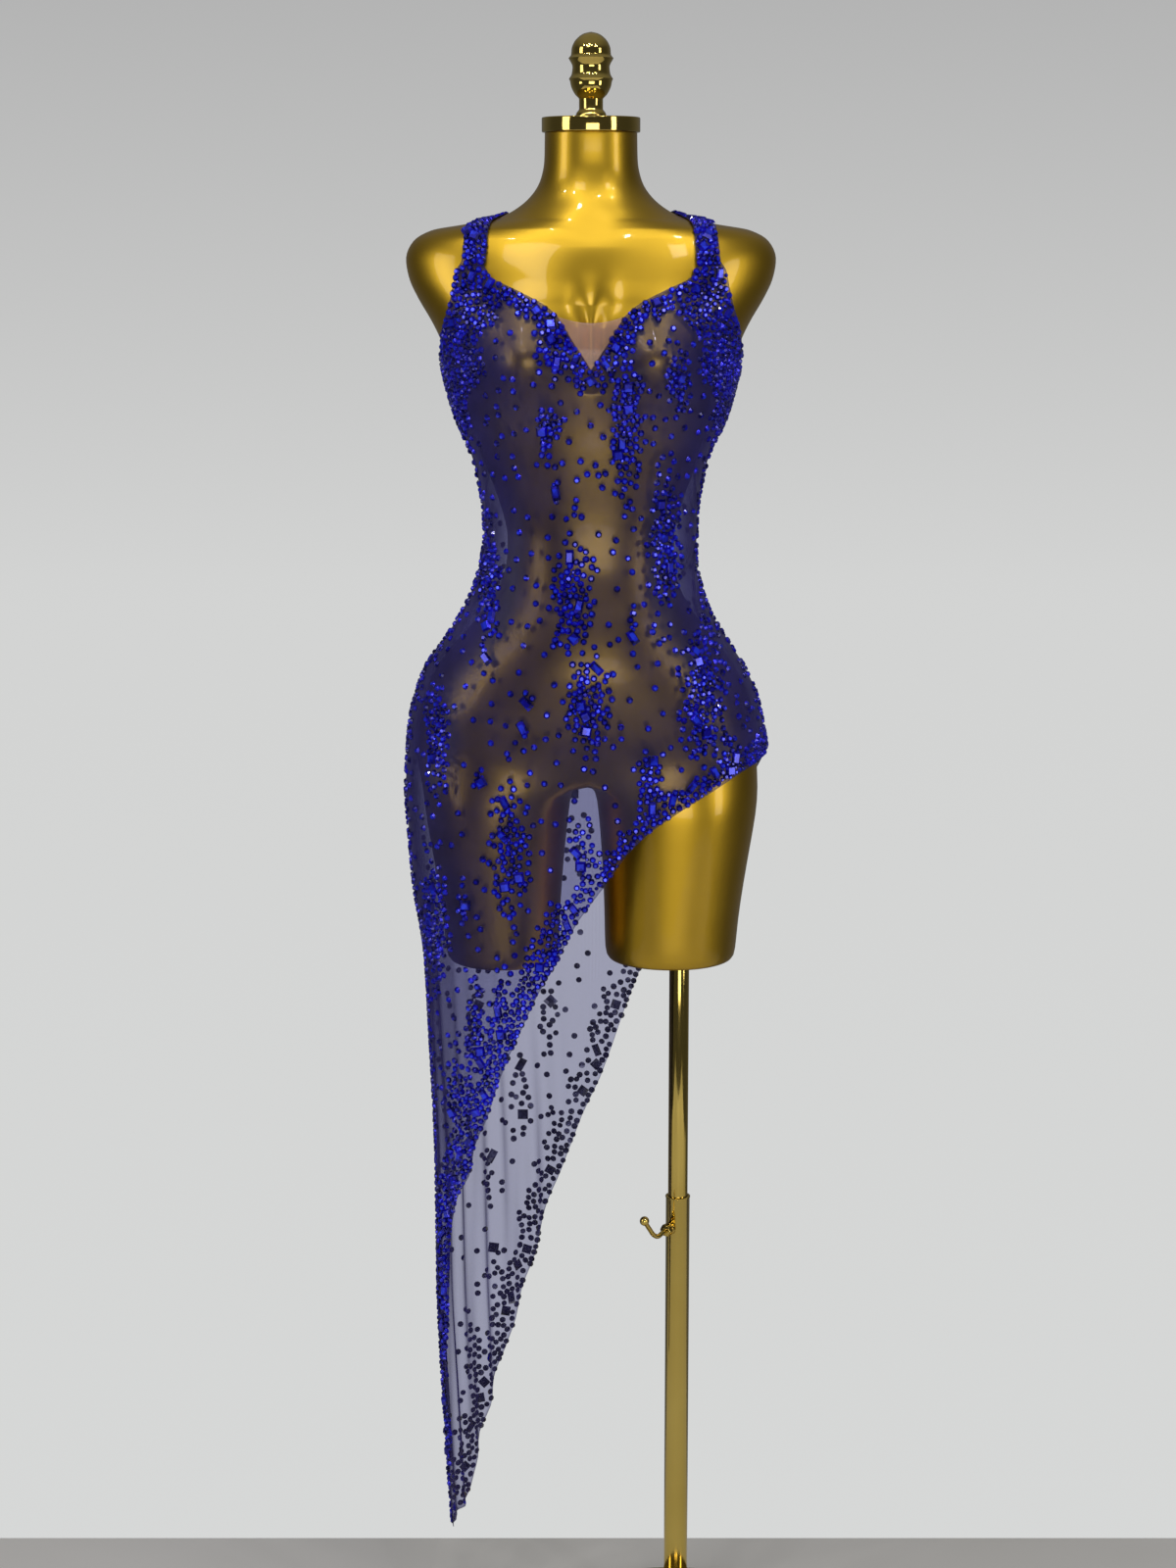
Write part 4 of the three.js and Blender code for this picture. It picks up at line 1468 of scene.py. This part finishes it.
@dataclass
class Surface:
    """A grid of cloth points that stones are set on, read between its points."""

    grid: list[list[Vector]]
    lift: float
    outward: Callable[[Vector], Vector]

    def __post_init__(self) -> None:
        """Turn the grid into an array."""
        self.points = np.array([[tuple(p) for p in row] for row in self.grid])

    def sample(self, u: np.ndarray, v: np.ndarray) -> tuple[np.ndarray, np.ndarray]:
        """Read points and normals.

        Args:
            u: column places, in columns.
            v: row places, in rows.

        Returns:
            Points on the outer face, and unit normals.
        """
        rows, columns, _ = self.points.shape
        i = np.clip(v.astype(int), 0, rows - 2)
        j = np.clip(u.astype(int), 0, columns - 2)
        s = (v - i)[:, None]
        t = (u - j)[:, None]
        a = self.points[i, j]
        b = self.points[i, j + 1]
        c = self.points[i + 1, j]
        d = self.points[i + 1, j + 1]
        place = a * (1 - s) * (1 - t) + b * (1 - s) * t + c * s * (1 - t) + d * s * t
        normal = np.cross((b - a) * (1 - s) + (d - c) * s, (c - a) * (1 - t) + (d - b) * t)
        length = np.linalg.norm(normal, axis=1, keepdims=True)
        normal = normal / np.maximum(length, 1e-9)
        out = np.array([tuple(self.outward(Vector(p))) for p in place])
        normal = normal * np.where(np.sum(normal * out, axis=1, keepdims=True) < 0, -1, 1)
        return place + normal * self.lift, normal


class StoneField:
    """Stones set one by one on a surface, none closer than they fit."""

    CELL = 30.0
    LEAN = 0.07

    def __init__(self, name: str, surface: Surface, seed: int) -> None:
        """Start an empty field.

        Args:
            name: the finished object's name.
            surface: the cloth that the stones are set on.
            seed: seed of the random draws.
        """
        self.name = name
        self.surface = surface
        self.random = random.Random(seed)
        self.draws = np.random.default_rng(seed)
        self.cells: dict[tuple[int, int, int], list[tuple[float, float, float, float]]] = {}
        self.set_stones: list[tuple[Cut, np.ndarray, np.ndarray, float, float]] = []

    def room(self, place: np.ndarray, reach: float) -> bool:
        """Whether a stone fits at a place.

        Args:
            place: the stone's middle.
            reach: its half width.

        Returns:
            True where no stone that is set comes too near.
        """
        cx, cy, cz = (int(c // self.CELL) for c in place)
        for dx in (-1, 0, 1):
            for dy in (-1, 0, 1):
                for dz in (-1, 0, 1):
                    for x, y, z, other in self.cells.get((cx + dx, cy + dy, cz + dz), ()):
                        gap = math.dist((x, y, z), place)
                        if gap < reach + other:
                            return False
        return True

    def put(self, cut: Cut, place: np.ndarray, normal: np.ndarray, reach: float, twist: float,
            size: float) -> bool:
        """Set one stone where it fits.

        Args:
            cut: the stone's shape.
            place: its point on the cloth.
            normal: the cloth's normal there.
            reach: half of the room that it takes.
            twist: its turn on the cloth, in radians.
            size: its size as a share of the full one.

        Returns:
            Whether it was set.
        """
        if not self.room(place, reach):
            return False
        key = tuple(int(c // self.CELL) for c in place)
        self.cells.setdefault(key, []).append((*place, reach))
        self.set_stones.append((cut, place, normal, twist, size))
        return True

    def scatter(self, places: np.ndarray, normals: np.ndarray, cut: Cut, reach: float,
                leans: float) -> int:
        """Set stones at places in order, where they fit.

        Args:
            places: points on the cloth.
            normals: normals there.
            cut: the stones' shape.
            reach: half of the room that each takes.
            leans: widest twist from upright, in radians.

        Returns:
            How many were set.
        """
        count = 0
        for place, normal in zip(places, normals):
            twist = self.random.uniform(-leans, leans)
            size = self.random.uniform(0.9, 1.06)
            count += self.put(cut, place, normal, reach, twist, size)
        return count

    def build(self, cuts: dict[Cut, tuple[np.ndarray, list[tuple[int, ...]]]],
              materials: Sequence[bpy.types.Material]) -> bpy.types.Object:
        """Join all the stones into one object.

        Args:
            cuts: each shape's model.
            materials: those of the stone's crown, with painted shade, its back, and its table, with a painted
                highlight.

        Returns:
            The joined stones.
        """
        points: list[np.ndarray] = []
        faces: list[tuple[int, ...]] = []
        backs: list[int] = []
        painted_highlight_tables: list[int] = []
        start = 0
        for cut, place, normal, twist, size in self.set_stones:
            vertices, shape_faces = cuts[cut]
            up = np.array([0.0, 0.0, 1.0]) if abs(normal[2]) < 0.9 else np.array([0.0, 1.0, 0.0])
            side = np.cross(up, normal)
            side /= np.linalg.norm(side)
            up = np.cross(normal, side)
            normal = normal + side * self.random.gauss(0, self.LEAN) + up * self.random.gauss(0, self.LEAN)
            normal /= np.linalg.norm(normal)
            side = np.cross(up, normal)
            side /= np.linalg.norm(side)
            up = np.cross(normal, side)
            x_axis = side * math.cos(twist) + up * math.sin(twist)
            y_axis = up * math.cos(twist) - side * math.sin(twist)
            turned = vertices * size
            points.append(place + turned @ np.array([x_axis, y_axis, normal]))
            backs.append(len(faces))
            faces.extend(tuple(start + k for k in face) for face in shape_faces)
            painted_highlight_tables.append(len(faces) - 1)
            start += len(vertices)
        obj = object_from(self.name, (np.concatenate(points) * MM).tolist(), faces)
        for material in materials:
            obj.data.materials.append(material)
        for number in backs:
            obj.data.polygons[number].material_index = 1
        # Table faces get the lighter copy of the blue glass: a painted highlight.
        for number in painted_highlight_tables:
            obj.data.polygons[number].material_index = 2
        return obj


@dataclass
class StoneSetter:
    """Lays out the stones of the dress and sets them."""

    front: Panel
    back: Panel
    straps: Sequence[Strap]
    candidates: int = 190000
    round_reach: float = 2.8
    filler_reach: float = 1.55
    filler_size: float = 0.6
    square_reach: float = 4.9
    oblong_reach: float = 4.9
    singles: int = 1500
    single_reach: tuple[float, float] = (7.0, 25.0)

    def panel_field(self, panel: Panel, drips: Sequence[Drip], seed: int) -> StoneField:
        """Lay out one panel's stones.

        Args:
            panel: the panel.
            drips: its clusters.
            seed: seed of the random draws.

        Returns:
            The filled field.
        """
        surface = Surface(panel.grid, panel.wall + 0.15, lambda p: Vector((p.x, p.y, 0)))
        field_ = StoneField(f"stones_{panel.side.name.lower()}", surface, seed)
        draws = field_.draws
        rows = panel.rows
        turns = np.array(panel.turns)
        u = np.interp(draws.uniform(turns[0], turns[-1], self.candidates), turns, np.arange(len(turns)))
        tops = np.array([panel.top_z(turn) for turn in turns])
        hems = np.array([panel.hem.at(turn) for turn in turns])
        z = draws.uniform(hems.min(), tops.max(), self.candidates)
        top = np.interp(u, np.arange(len(turns)), tops)
        hem = np.interp(u, np.arange(len(turns)), hems)
        inside = (z < top - 2.2) & (z > hem + 2.2)
        u = u[inside]
        v = (top - z)[inside] / (top - hem)[inside] * rows
        places, normals = surface.sample(u, v)
        hem_away = self.distance(places, surface.points[-1])
        top_away = self.distance(places, surface.points[0])
        turn = np.interp(u, np.arange(len(turns)), turns)
        x = places[:, 0]
        z = places[:, 2]
        self.lead_stones(field_, places, normals, drips)
        rough = 0.75 + 0.5 * np.sin(x / 6.1 + 2 * np.sin(z / 47)) * np.sin(x / 14.3 + 1.1)
        lower = np.clip((900 - z) / 80, 0, 1)
        hem_width = (20 + 9 * lower) * (0.66 + 0.46 * rough)
        chance = np.exp(-((hem_away / hem_width) ** 6))
        chance = np.maximum(chance, np.exp(-((hem_away / 80) ** 2)) * 0.02 * rough)
        top_width = 20 * (0.65 + 0.5 * rough)
        chance = np.maximum(chance, np.exp(-((top_away / top_width) ** 6)))
        bust_edge = 86 + (1480 - z) * 0.27 + 6 * np.sin(z / 9.0)
        bust_side = np.clip((np.abs(x) - bust_edge) / 9, 0, 1) * np.clip((z - 1300) / 50, 0, 1)
        chance = np.maximum(chance, bust_side)
        seam = np.minimum(turn, 180 - turn)
        strip = np.exp(-((seam / 9) ** 2)) * 0.16 * rough
        long_strip = np.exp(-((turn / 11) ** 6)) * np.clip((880 - z) / 90, 0, 1)
        chance = np.maximum(chance, np.maximum(strip, long_strip))
        for drip in drips:
            away = ((x - drip.x) / drip.wide) ** 2 + ((z - drip.z) / drip.tall) ** 2
            chance = np.maximum(chance, np.exp(-3.2 * away**1.5))
            chance = np.maximum(chance, np.exp(-1.6 * away) * 0.06)
            tail = np.abs(x - drip.x) / (0.2 * drip.wide + 3.0)
            reach = np.abs(z - drip.z) / (1.3 * drip.tall)
            chance = np.maximum(chance, np.exp(-(tail**2) - reach**4) * 0.08)
        if panel.side is Side.BACK:
            chance *= 0.16 + 0.5 * np.clip(1 - hem_away / 30, 0, 1)
        keep = draws.uniform(0, 1, len(places)) < chance
        dense = field_.scatter(places[keep], normals[keep], Cut.ROUND, self.round_reach, math.pi)
        packed = keep & (chance > 0.55) & (panel.side is Side.FRONT)
        for place, normal in zip(places[packed], normals[packed]):
            twist = field_.random.uniform(-math.pi, math.pi)
            field_.put(Cut.ROUND, place, normal, self.filler_reach, twist, self.filler_size)
        for place, normal in zip(places[~keep][:self.singles], normals[~keep][:self.singles]):
            share = 0.6 if place[2] > 1290 else 1.0
            if field_.room(place, share * field_.random.uniform(*self.single_reach)):
                field_.put(Cut.ROUND, place, normal, self.round_reach, 0.3, 1.0)
        LOG.info("%s: %d dense, %d in all", field_.name, dense, len(field_.set_stones))
        return field_

    def lead_stones(self, field_: StoneField, places: np.ndarray, normals: np.ndarray,
                    drips: Sequence[Drip]) -> None:
        """Set the large stones of each cluster, and some along the edges.

        Args:
            field_: the field that is filled.
            places: candidate points.
            normals: normals there.
            drips: the panel's clusters.
        """
        for drip in drips:
            for cut, count, reach in ((Cut.SQUARE, drip.squares, self.square_reach),
                                      (Cut.OBLONG, drip.oblongs, self.oblong_reach)):
                for _ in range(count):
                    x = drip.x + field_.random.uniform(-0.5, 0.5) * drip.wide
                    z = drip.z + field_.random.uniform(-0.7, 0.7) * drip.tall
                    nearest = np.argmin((places[:, 0] - x) ** 2 + (places[:, 2] - z) ** 2)
                    twist = field_.random.choice((0.0, 0.15, -0.2, 0.5, math.pi / 4))
                    field_.put(cut, places[nearest], normals[nearest], reach, twist, 1.0)
        edges = (field_.surface.points[-1], field_.surface.points[0])
        for edge, every, inset in ((edges[0], 26.0, 13.0), (edges[1], 30.0, 10.0)):
            away = self.distance(places, edge)
            near = np.flatnonzero(np.abs(away - inset) < 3.0)
            for number in near[:: max(1, int(len(near) / (len(edge) * 0.25)))]:
                if field_.room(places[number], every * 0.42):
                    cut = Cut.SQUARE if field_.random.random() < 0.6 else Cut.OBLONG
                    twist = field_.random.uniform(-0.8, 0.8)
                    field_.put(cut, places[number], normals[number], self.square_reach, twist, 0.9)

    @staticmethod
    def distance(places: np.ndarray, line: np.ndarray) -> np.ndarray:
        """Distance of each place from a line of points.

        Args:
            places: the places.
            line: the points.

        Returns:
            The distance from the nearest point, for each place.
        """
        nearest = np.full(len(places), np.inf)
        for start in range(0, len(line), 8):
            chunk = line[start:start + 8]
            gaps = np.linalg.norm(places[:, None, :] - chunk[None, :, :], axis=2)
            nearest = np.minimum(nearest, gaps.min(axis=1))
        return nearest

    def strap_field(self, strap: Strap, seed: int) -> StoneField:
        """Cover one strap with stones.

        Args:
            strap: the strap.
            seed: start of its random draws.

        Returns:
            The field with its stones set.
        """
        surface = Surface(strap.grid, 0.8, lambda p: Vector((0, p.y, p.z - strap.seat_z)))
        field_ = StoneField(f"stones_{strap.name}", surface, seed)
        count = 9000
        u = field_.draws.uniform(0.9, strap.columns - 0.9, count)
        v = field_.draws.uniform(0.4, strap.rows - 0.4, count)
        places, normals = surface.sample(u, v)
        field_.scatter(places[:14], normals[:14], Cut.SQUARE, self.square_reach, 0.8)
        field_.scatter(places[14:], normals[14:], Cut.ROUND, self.round_reach * 0.95, math.pi)
        for place, normal in zip(places[14:], normals[14:]):
            field_.put(Cut.ROUND, place, normal, self.filler_reach, 0.0, self.filler_size)
        return field_

    def dress(self) -> None:
        """Model the stones and set them on every piece of the dress."""
        cuts = {shape.cut: shape.model() for shape in STONE_CUTS}
        # Crown and table are darker and lighter copies of one blue glass: painted shade and painted
        # highlight.
        materials = (STONE.material(), STONE_BACK.material(), STONE_TABLE_PAINTED_HIGHLIGHT.material())
        fields = [self.panel_field(self.front, DRIPS_FRONT, 11), self.panel_field(self.back, DRIPS_BACK, 23)]
        fields.extend(self.strap_field(strap, 31 + number) for number, strap in enumerate(self.straps))
        for field_ in fields:
            obj = field_.build(cuts, materials)
            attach(obj, "display")
            LOG.info("%s: %d stones", obj.name, len(field_.set_stones))


# The stand


@dataclass
class Stand:
    """Neck ring, finial, tubes, hook, collar and base."""

    ring_z: float = 1629.3
    ring_high: float = 14.5
    wall_bottom: float = 9.3
    lip_z: float = 522.0
    upper_bottom: float = 225.0
    upper_top: float = 907.0
    upper_radius: float = 10.4
    lower_radius: float = 12.7
    lower_bore: float = 10.8
    clamp_z: float = 488.0

    clamp_turn: float = 50.0
    boss_length: float = 3.0
    nut_length: float = 6.0

    FINIAL_BULB = ((17.8, 11.9), (22, 16), (29.3, 19.7), (35, 21), (36.9, 21.9))
    FINIAL_WAIST = ((36.9, 21.9), (41.6, 19.2), (48.1, 18.4), (56.8, 22.3))
    FINIAL_DOME = ((56.8, 22.3), (60, 19.8), (66, 19.2), (72, 16.8), (77, 12.4), (80.4, 7), (81.6, 2))
    HOOK = ((0, 0), (8, -1.5), (14, -3), (21, 0), (29, 9), (36, 18))

    def finish_piece(self, obj: bpy.types.Object, node: str, body: str, material: bpy.types.Material) -> None:
        """Plate one piece and put it in its node's place.

        Args:
            obj: the piece.
            node: the node that it stands for.
            body: the body that it moves with.
            material: its finish.
        """
        obj.data.materials.clear()
        obj.data.materials.append(material)
        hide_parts(node)
        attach(obj, body)
        LOG.info("%s: %d faces", obj.name, len(obj.data.polygons))

    def finial(self) -> bpy.types.Object:
        """Turn the knob on top of the neck ring."""
        base = self.ring_z + self.ring_high + 0.3
        profile = [(0, 0), (14.4, 0), (15.1, 0.7), (15.1, 2.6),
                   (14.2, 4.6), (12.6, 6.4), (11.9, 7.8), (11.9, 17.6)]
        for rows, count in ((self.FINIAL_BULB, 16), (self.FINIAL_WAIST, 16), (self.FINIAL_DOME, 26)):
            smooth = Curve(rows)
            profile += [(smooth.at(h), h) for h in np.linspace(rows[0][0], rows[-1][0], count)[1:]]
        profile.append((0, 82.0))
        return spun("finial_knob", [(r * MM, (base + h) * MM) for r, h in profile], (0, 0))

    def lower_tube(self) -> bpy.types.Object:
        """Turn the lower tube with its rolled lip, and add the clamp's boss."""
        r = self.lower_radius
        bore = self.lower_bore
        z0 = self.wall_bottom
        lip = self.lip_z
        profile = [(0, z0), (r, z0), (r, lip - 2.2), (r + 0.5, lip - 1.6), (r + 0.5, lip - 0.4), (r, lip),
                   (bore, lip), (bore, z0 + 6), (0, z0 + 6)]
        tube = spun("lower_pole", [(a * MM, h * MM) for a, h in profile], (POLE_X * MM, 0))
        rooted = 1.4
        boss = bevelled_cylinder("boss", 6.5 * MM, (self.boss_length + rooted) * MM, (0, 0, 0), 0.5 * MM, 48)
        boss.rotation_euler.y = math.radians(90)
        boss.location.x = -(r + (self.boss_length - rooted) / 2) * MM
        apply_place(boss)
        self.face_clamp(boss)
        return join("lower_pole", [tube, boss])

    def face_clamp(self, obj: bpy.types.Object) -> None:
        """Turn a piece made along -X about the pole, to the side that the clamp faces.

        Args:
            obj: the piece.
        """
        obj.rotation_euler.z = math.radians(self.clamp_turn)
        obj.location = (POLE_X * MM, 0, self.clamp_z * MM)
        apply_place(obj)

    def hook(self) -> bpy.types.Object:
        """Bend the hooked clamp screw and fit its nut and ball."""
        x0 = -(self.lower_radius + self.boss_length + 0.3 + self.nut_length / 2)
        curve = bpy.data.curves.new("hook rod", "CURVE")
        curve.dimensions = "3D"
        curve.bevel_depth = 2.5 * MM
        curve.bevel_resolution = 6
        curve.use_fill_caps = True
        curve.resolution_u = 16
        spline = curve.splines.new("BEZIER")
        spline.bezier_points.add(len(self.HOOK) - 1)
        for knot, (out, up) in zip(spline.bezier_points, self.HOOK):
            knot.co = ((x0 - out) * MM, 0, up * MM)
            knot.handle_left_type = "AUTO"
            knot.handle_right_type = "AUTO"
        rod = bpy.data.objects.new("hook rod", curve)
        bpy.context.scene.collection.objects.link(rod)
        make_active(rod)
        bpy.ops.object.convert(target="MESH")
        rod = bpy.context.object
        bpy.ops.object.shade_smooth()
        deselect_all()
        tip = self.HOOK[-1]
        bpy.ops.mesh.primitive_uv_sphere_add(segments=32, ring_count=20, radius=5 * MM,
                                             location=((x0 - tip[0] - 5 / 3) * MM, 0, (tip[1] + 2.5) * MM))
        ball = bpy.context.object
        apply_place(ball)
        bpy.ops.object.shade_smooth()
        nut = bevelled_cylinder("nut", 7 * MM, self.nut_length * MM, (0, 0, 0), 0.7 * MM, 6)
        nut.rotation_euler = (0, math.radians(90), 0)
        nut.location.x = x0 * MM
        apply_place(nut)
        screw = join("hook_screw", [rod, ball, nut])
        self.face_clamp(screw)
        return screw

    def collar(self) -> bpy.types.Object:
        """Turn the collar that stands round the pole's foot."""
        inner = self.lower_radius + 0.3
        z = self.wall_bottom
        profile = [(inner, z), (25.4, z), (26, z + 0.6), (26, z + 4.8), (25, z + 6.2), (20, z + 9.6),
                   (18.2, z + 12.6), (18, z + 15), (18, z + 31.4), (17, z + 33.4), (15.6, z + 34),
                   (inner, z + 34), (inner, z)]
        return spun("foot_collar", [(r * MM, h * MM) for r, h in profile], (POLE_X * MM, 0))

    def base(self) -> bpy.types.Object:
        """Turn the round base plate with a stepped rim."""
        profile = [(0, 0), (171, 0), (172, 1), (172, 5.6), (171.2, 6.8),
                   (169, 8), (164, 8.7), (150, 9), (0, 9)]
        return spun("foot_plate", [(r * MM, h * MM) for r, h in profile], (POLE_X * MM, 0), 120)

    def dress(self) -> None:
        """Build, plate and place every piece of the stand."""
        gold = BRIGHT_GOLD.material()
        ring_middle = self.ring_z + self.ring_high / 2
        ring = bevelled_cylinder("neck_cap", 49 * MM, self.ring_high * MM, (0, 0, ring_middle * MM), 1.1 * MM)
        middle = (self.upper_bottom + self.upper_top) / 2
        length = self.upper_top - self.upper_bottom
        upper = bevelled_cylinder("upper_pole", self.upper_radius * MM, length * MM,
                                  (POLE_X * MM, 0, middle * MM), 0.5 * MM, 64)
        self.finish_piece(ring, "neck_ring", "display", gold)
        self.finish_piece(self.finial(), "finial", "display", gold)
        self.finish_piece(upper, "upper_tube", "mast", gold)
        self.finish_piece(self.lower_tube(), "lower_tube", "stand", gold)
        self.finish_piece(self.hook(), "clamp_screw", "clamp", gold)
        self.finish_piece(self.collar(), "base_collar", "stand", gold)
        self.finish_piece(self.base(), "base_plate", "stand", gold)


# The studio


@dataclass
class Studio:
    """Camera, floor, world and lights."""

    camera_height: float = 1.52
    camera_away: float = 2.83
    camera_x: float = -0.003
    pitch: float = 11.0
    focal_pixels: float = 2832.0
    image_height: float = 1600.0
    sensor: float = 36.0

    def camera(self) -> None:
        """Place the camera at the photograph's viewing angle."""
        data = bpy.data.cameras.new("camera")
        data.sensor_width = self.sensor
        data.lens = self.focal_pixels / self.image_height * self.sensor
        obj = bpy.data.objects.new("camera", data)
        obj.location = (self.camera_x, -self.camera_away, self.camera_height)
        obj.rotation_euler = (math.radians(90 - self.pitch), 0, 0)
        bpy.context.scene.collection.objects.link(obj)
        bpy.context.scene.camera = obj

    def floor(self) -> None:
        """Lay the plain pale floor, up to where the photograph's wall stands."""
        deselect_all()
        bpy.ops.mesh.primitive_plane_add(size=1, location=(0, -1.12, -0.0005))
        obj = bpy.context.object
        obj.scale = (4.0, 2.76, 1)
        apply_place(obj)
        obj.name = "studio_floor"
        material, tree, shader = new_material("pale floor")
        shade = noise_ramp(tree, 1.5, (0.74, 0.73, 0.71), (0.80, 0.79, 0.78))
        tree.links.new(shade, shader.inputs["Base Color"])
        shader.inputs["Roughness"].default_value = 0.85
        obj.data.materials.append(material)

    def world(self) -> None:
        """Light the room softly: bright above and behind the dress, dim on the side that faces it. The
        backdrop that the camera sees has painted light and shade, paler low down and darker higher up.
        """
        world = bpy.data.worlds.new("studio")
        bpy.context.scene.world = world
        bpy.context.scene.view_settings.view_transform = "Standard"
        world.use_nodes = True
        tree = world.node_tree
        links = tree.links
        background = tree.nodes["Background"]
        place = tree.nodes.new("ShaderNodeTexCoord")
        split = tree.nodes.new("ShaderNodeSeparateXYZ")
        links.new(place.outputs["Generated"], split.inputs["Vector"])
        room = tree.nodes.new("ShaderNodeMath")
        for number, (axis, first, low, high) in enumerate((("Y", 0.1, 0.055, 0.12), ("Z", 0.25, 0.0, 0.16))):
            part = tree.nodes.new("ShaderNodeMapRange")
            part.interpolation_type = "SMOOTHSTEP"
            part.inputs["From Min"].default_value = first
            part.inputs["To Min"].default_value = low
            part.inputs["To Max"].default_value = high
            links.new(split.outputs[axis], part.inputs["Value"])
            links.new(part.outputs["Result"], room.inputs[number])
        # Backdrop seen by the camera: painted light and shade, pale below eye level and darker above it.
        wall = tree.nodes.new("ShaderNodeValToRGB")
        wall.color_ramp.elements[0].position = 0.25
        wall.color_ramp.elements[0].color = (0.68, 0.69, 0.685, 1)
        wall.color_ramp.elements[1].position = 0.56
        wall.color_ramp.elements[1].color = (0.42, 0.42, 0.42, 1)
        middle = wall.color_ramp.elements.new(0.44)
        middle.color = (0.65, 0.655, 0.65, 1)
        height = tree.nodes.new("ShaderNodeMath")
        height.operation = "MULTIPLY_ADD"
        height.inputs[1].default_value = 0.5
        height.inputs[2].default_value = 0.5
        links.new(split.outputs["Z"], height.inputs[0])
        links.new(height.outputs["Value"], wall.inputs["Fac"])
        seen = tree.nodes.new("ShaderNodeLightPath")
        mix = tree.nodes.new("ShaderNodeMix")
        mix.data_type = "RGBA"
        links.new(seen.outputs["Is Camera Ray"], mix.inputs["Factor"])
        links.new(room.outputs["Value"], mix.inputs["A"])
        links.new(wall.outputs["Color"], mix.inputs["B"])
        links.new(mix.outputs["Result"], background.inputs["Color"])
        background.inputs["Strength"].default_value = 1.0

    def light(self, name: str, place: Point, aim: Point, size: tuple[float, float], power: float,
              tone: tuple[float, float, float] = (1.0, 0.98, 0.95)) -> None:
        """Hang one soft box.

        Args:
            name: the light's name.
            place: where it hangs.
            aim: the point that it faces.
            size: its width and height.
            power: its power in watts.
            tone: its colour.
        """
        data = bpy.data.lights.new(name, "AREA")
        data.shape = "RECTANGLE"
        data.size = size[0]
        data.size_y = size[1]
        data.energy = power
        data.color = tone
        obj = bpy.data.objects.new(name, data)
        obj.location = place
        obj.rotation_euler = (Vector(aim) - Vector(place)).to_track_quat("-Z", "Y").to_euler()
        bpy.context.scene.collection.objects.link(obj)

    def lights(self) -> None:
        """Hang all the lights."""
        chest = (0.0, 0.0, 1.25)
        self.light("key", (-0.6, -2.0, 3.0), chest, (0.7, 0.4), 4.6)
        self.light("second", (0.9, -1.7, 2.9), chest, (0.3, 0.3), 2.6)
        self.light("left_fill", (-2.5, -1.4, 1.8), chest, (0.9, 2.2), 19)
        self.light("right_fill", (2.4, -1.7, 1.5), chest, (0.6, 2.2), 17)
        self.light("front_fill", (0.25, -3.6, 1.0), chest, (1.9, 1.5), 30)
        for number in range(6):
            x = -1.0 + 0.4 * number
            place = (x, -0.9 - 0.3 * (number % 2), 2.8)
            self.light(f"spot_{number}", place, (0.1 * x, 0, 1.3), (0.05, 0.05), 1.7)

    def build(self) -> None:
        """Set up the whole studio."""
        self.camera()
        self.floor()
        self.world()
        self.lights()


def main() -> None:
    """Build the dress, its form and its stand, and report each piece."""
    Studio().build()
    body = BodyShape()
    shape = ClothShape(body)
    DressForm(body).dress()
    mesh = NAVY.material()
    front = Panel(Side.FRONT, shape, "front_panel_mesh", "front_panel", (0.47, 1.36), 0.285)
    back = Panel(Side.BACK, shape, "back_panel_mesh", "back_panel", (0.49, 1.34), 0.345)
    front.dress(mesh)
    back.dress(mesh)
    NudeInsert(shape).dress()
    straps = [
        Strap(shape, 1, "strap_left_mesh", "strap_left"),
        Strap(shape, -1, "strap_right_mesh", "strap_right"),
    ]
    for strap in straps:
        strap.dress(mesh)
    StoneSetter(front, back, straps).dress()
    Stand().dress()


if __name__ == "__main__":
    main()
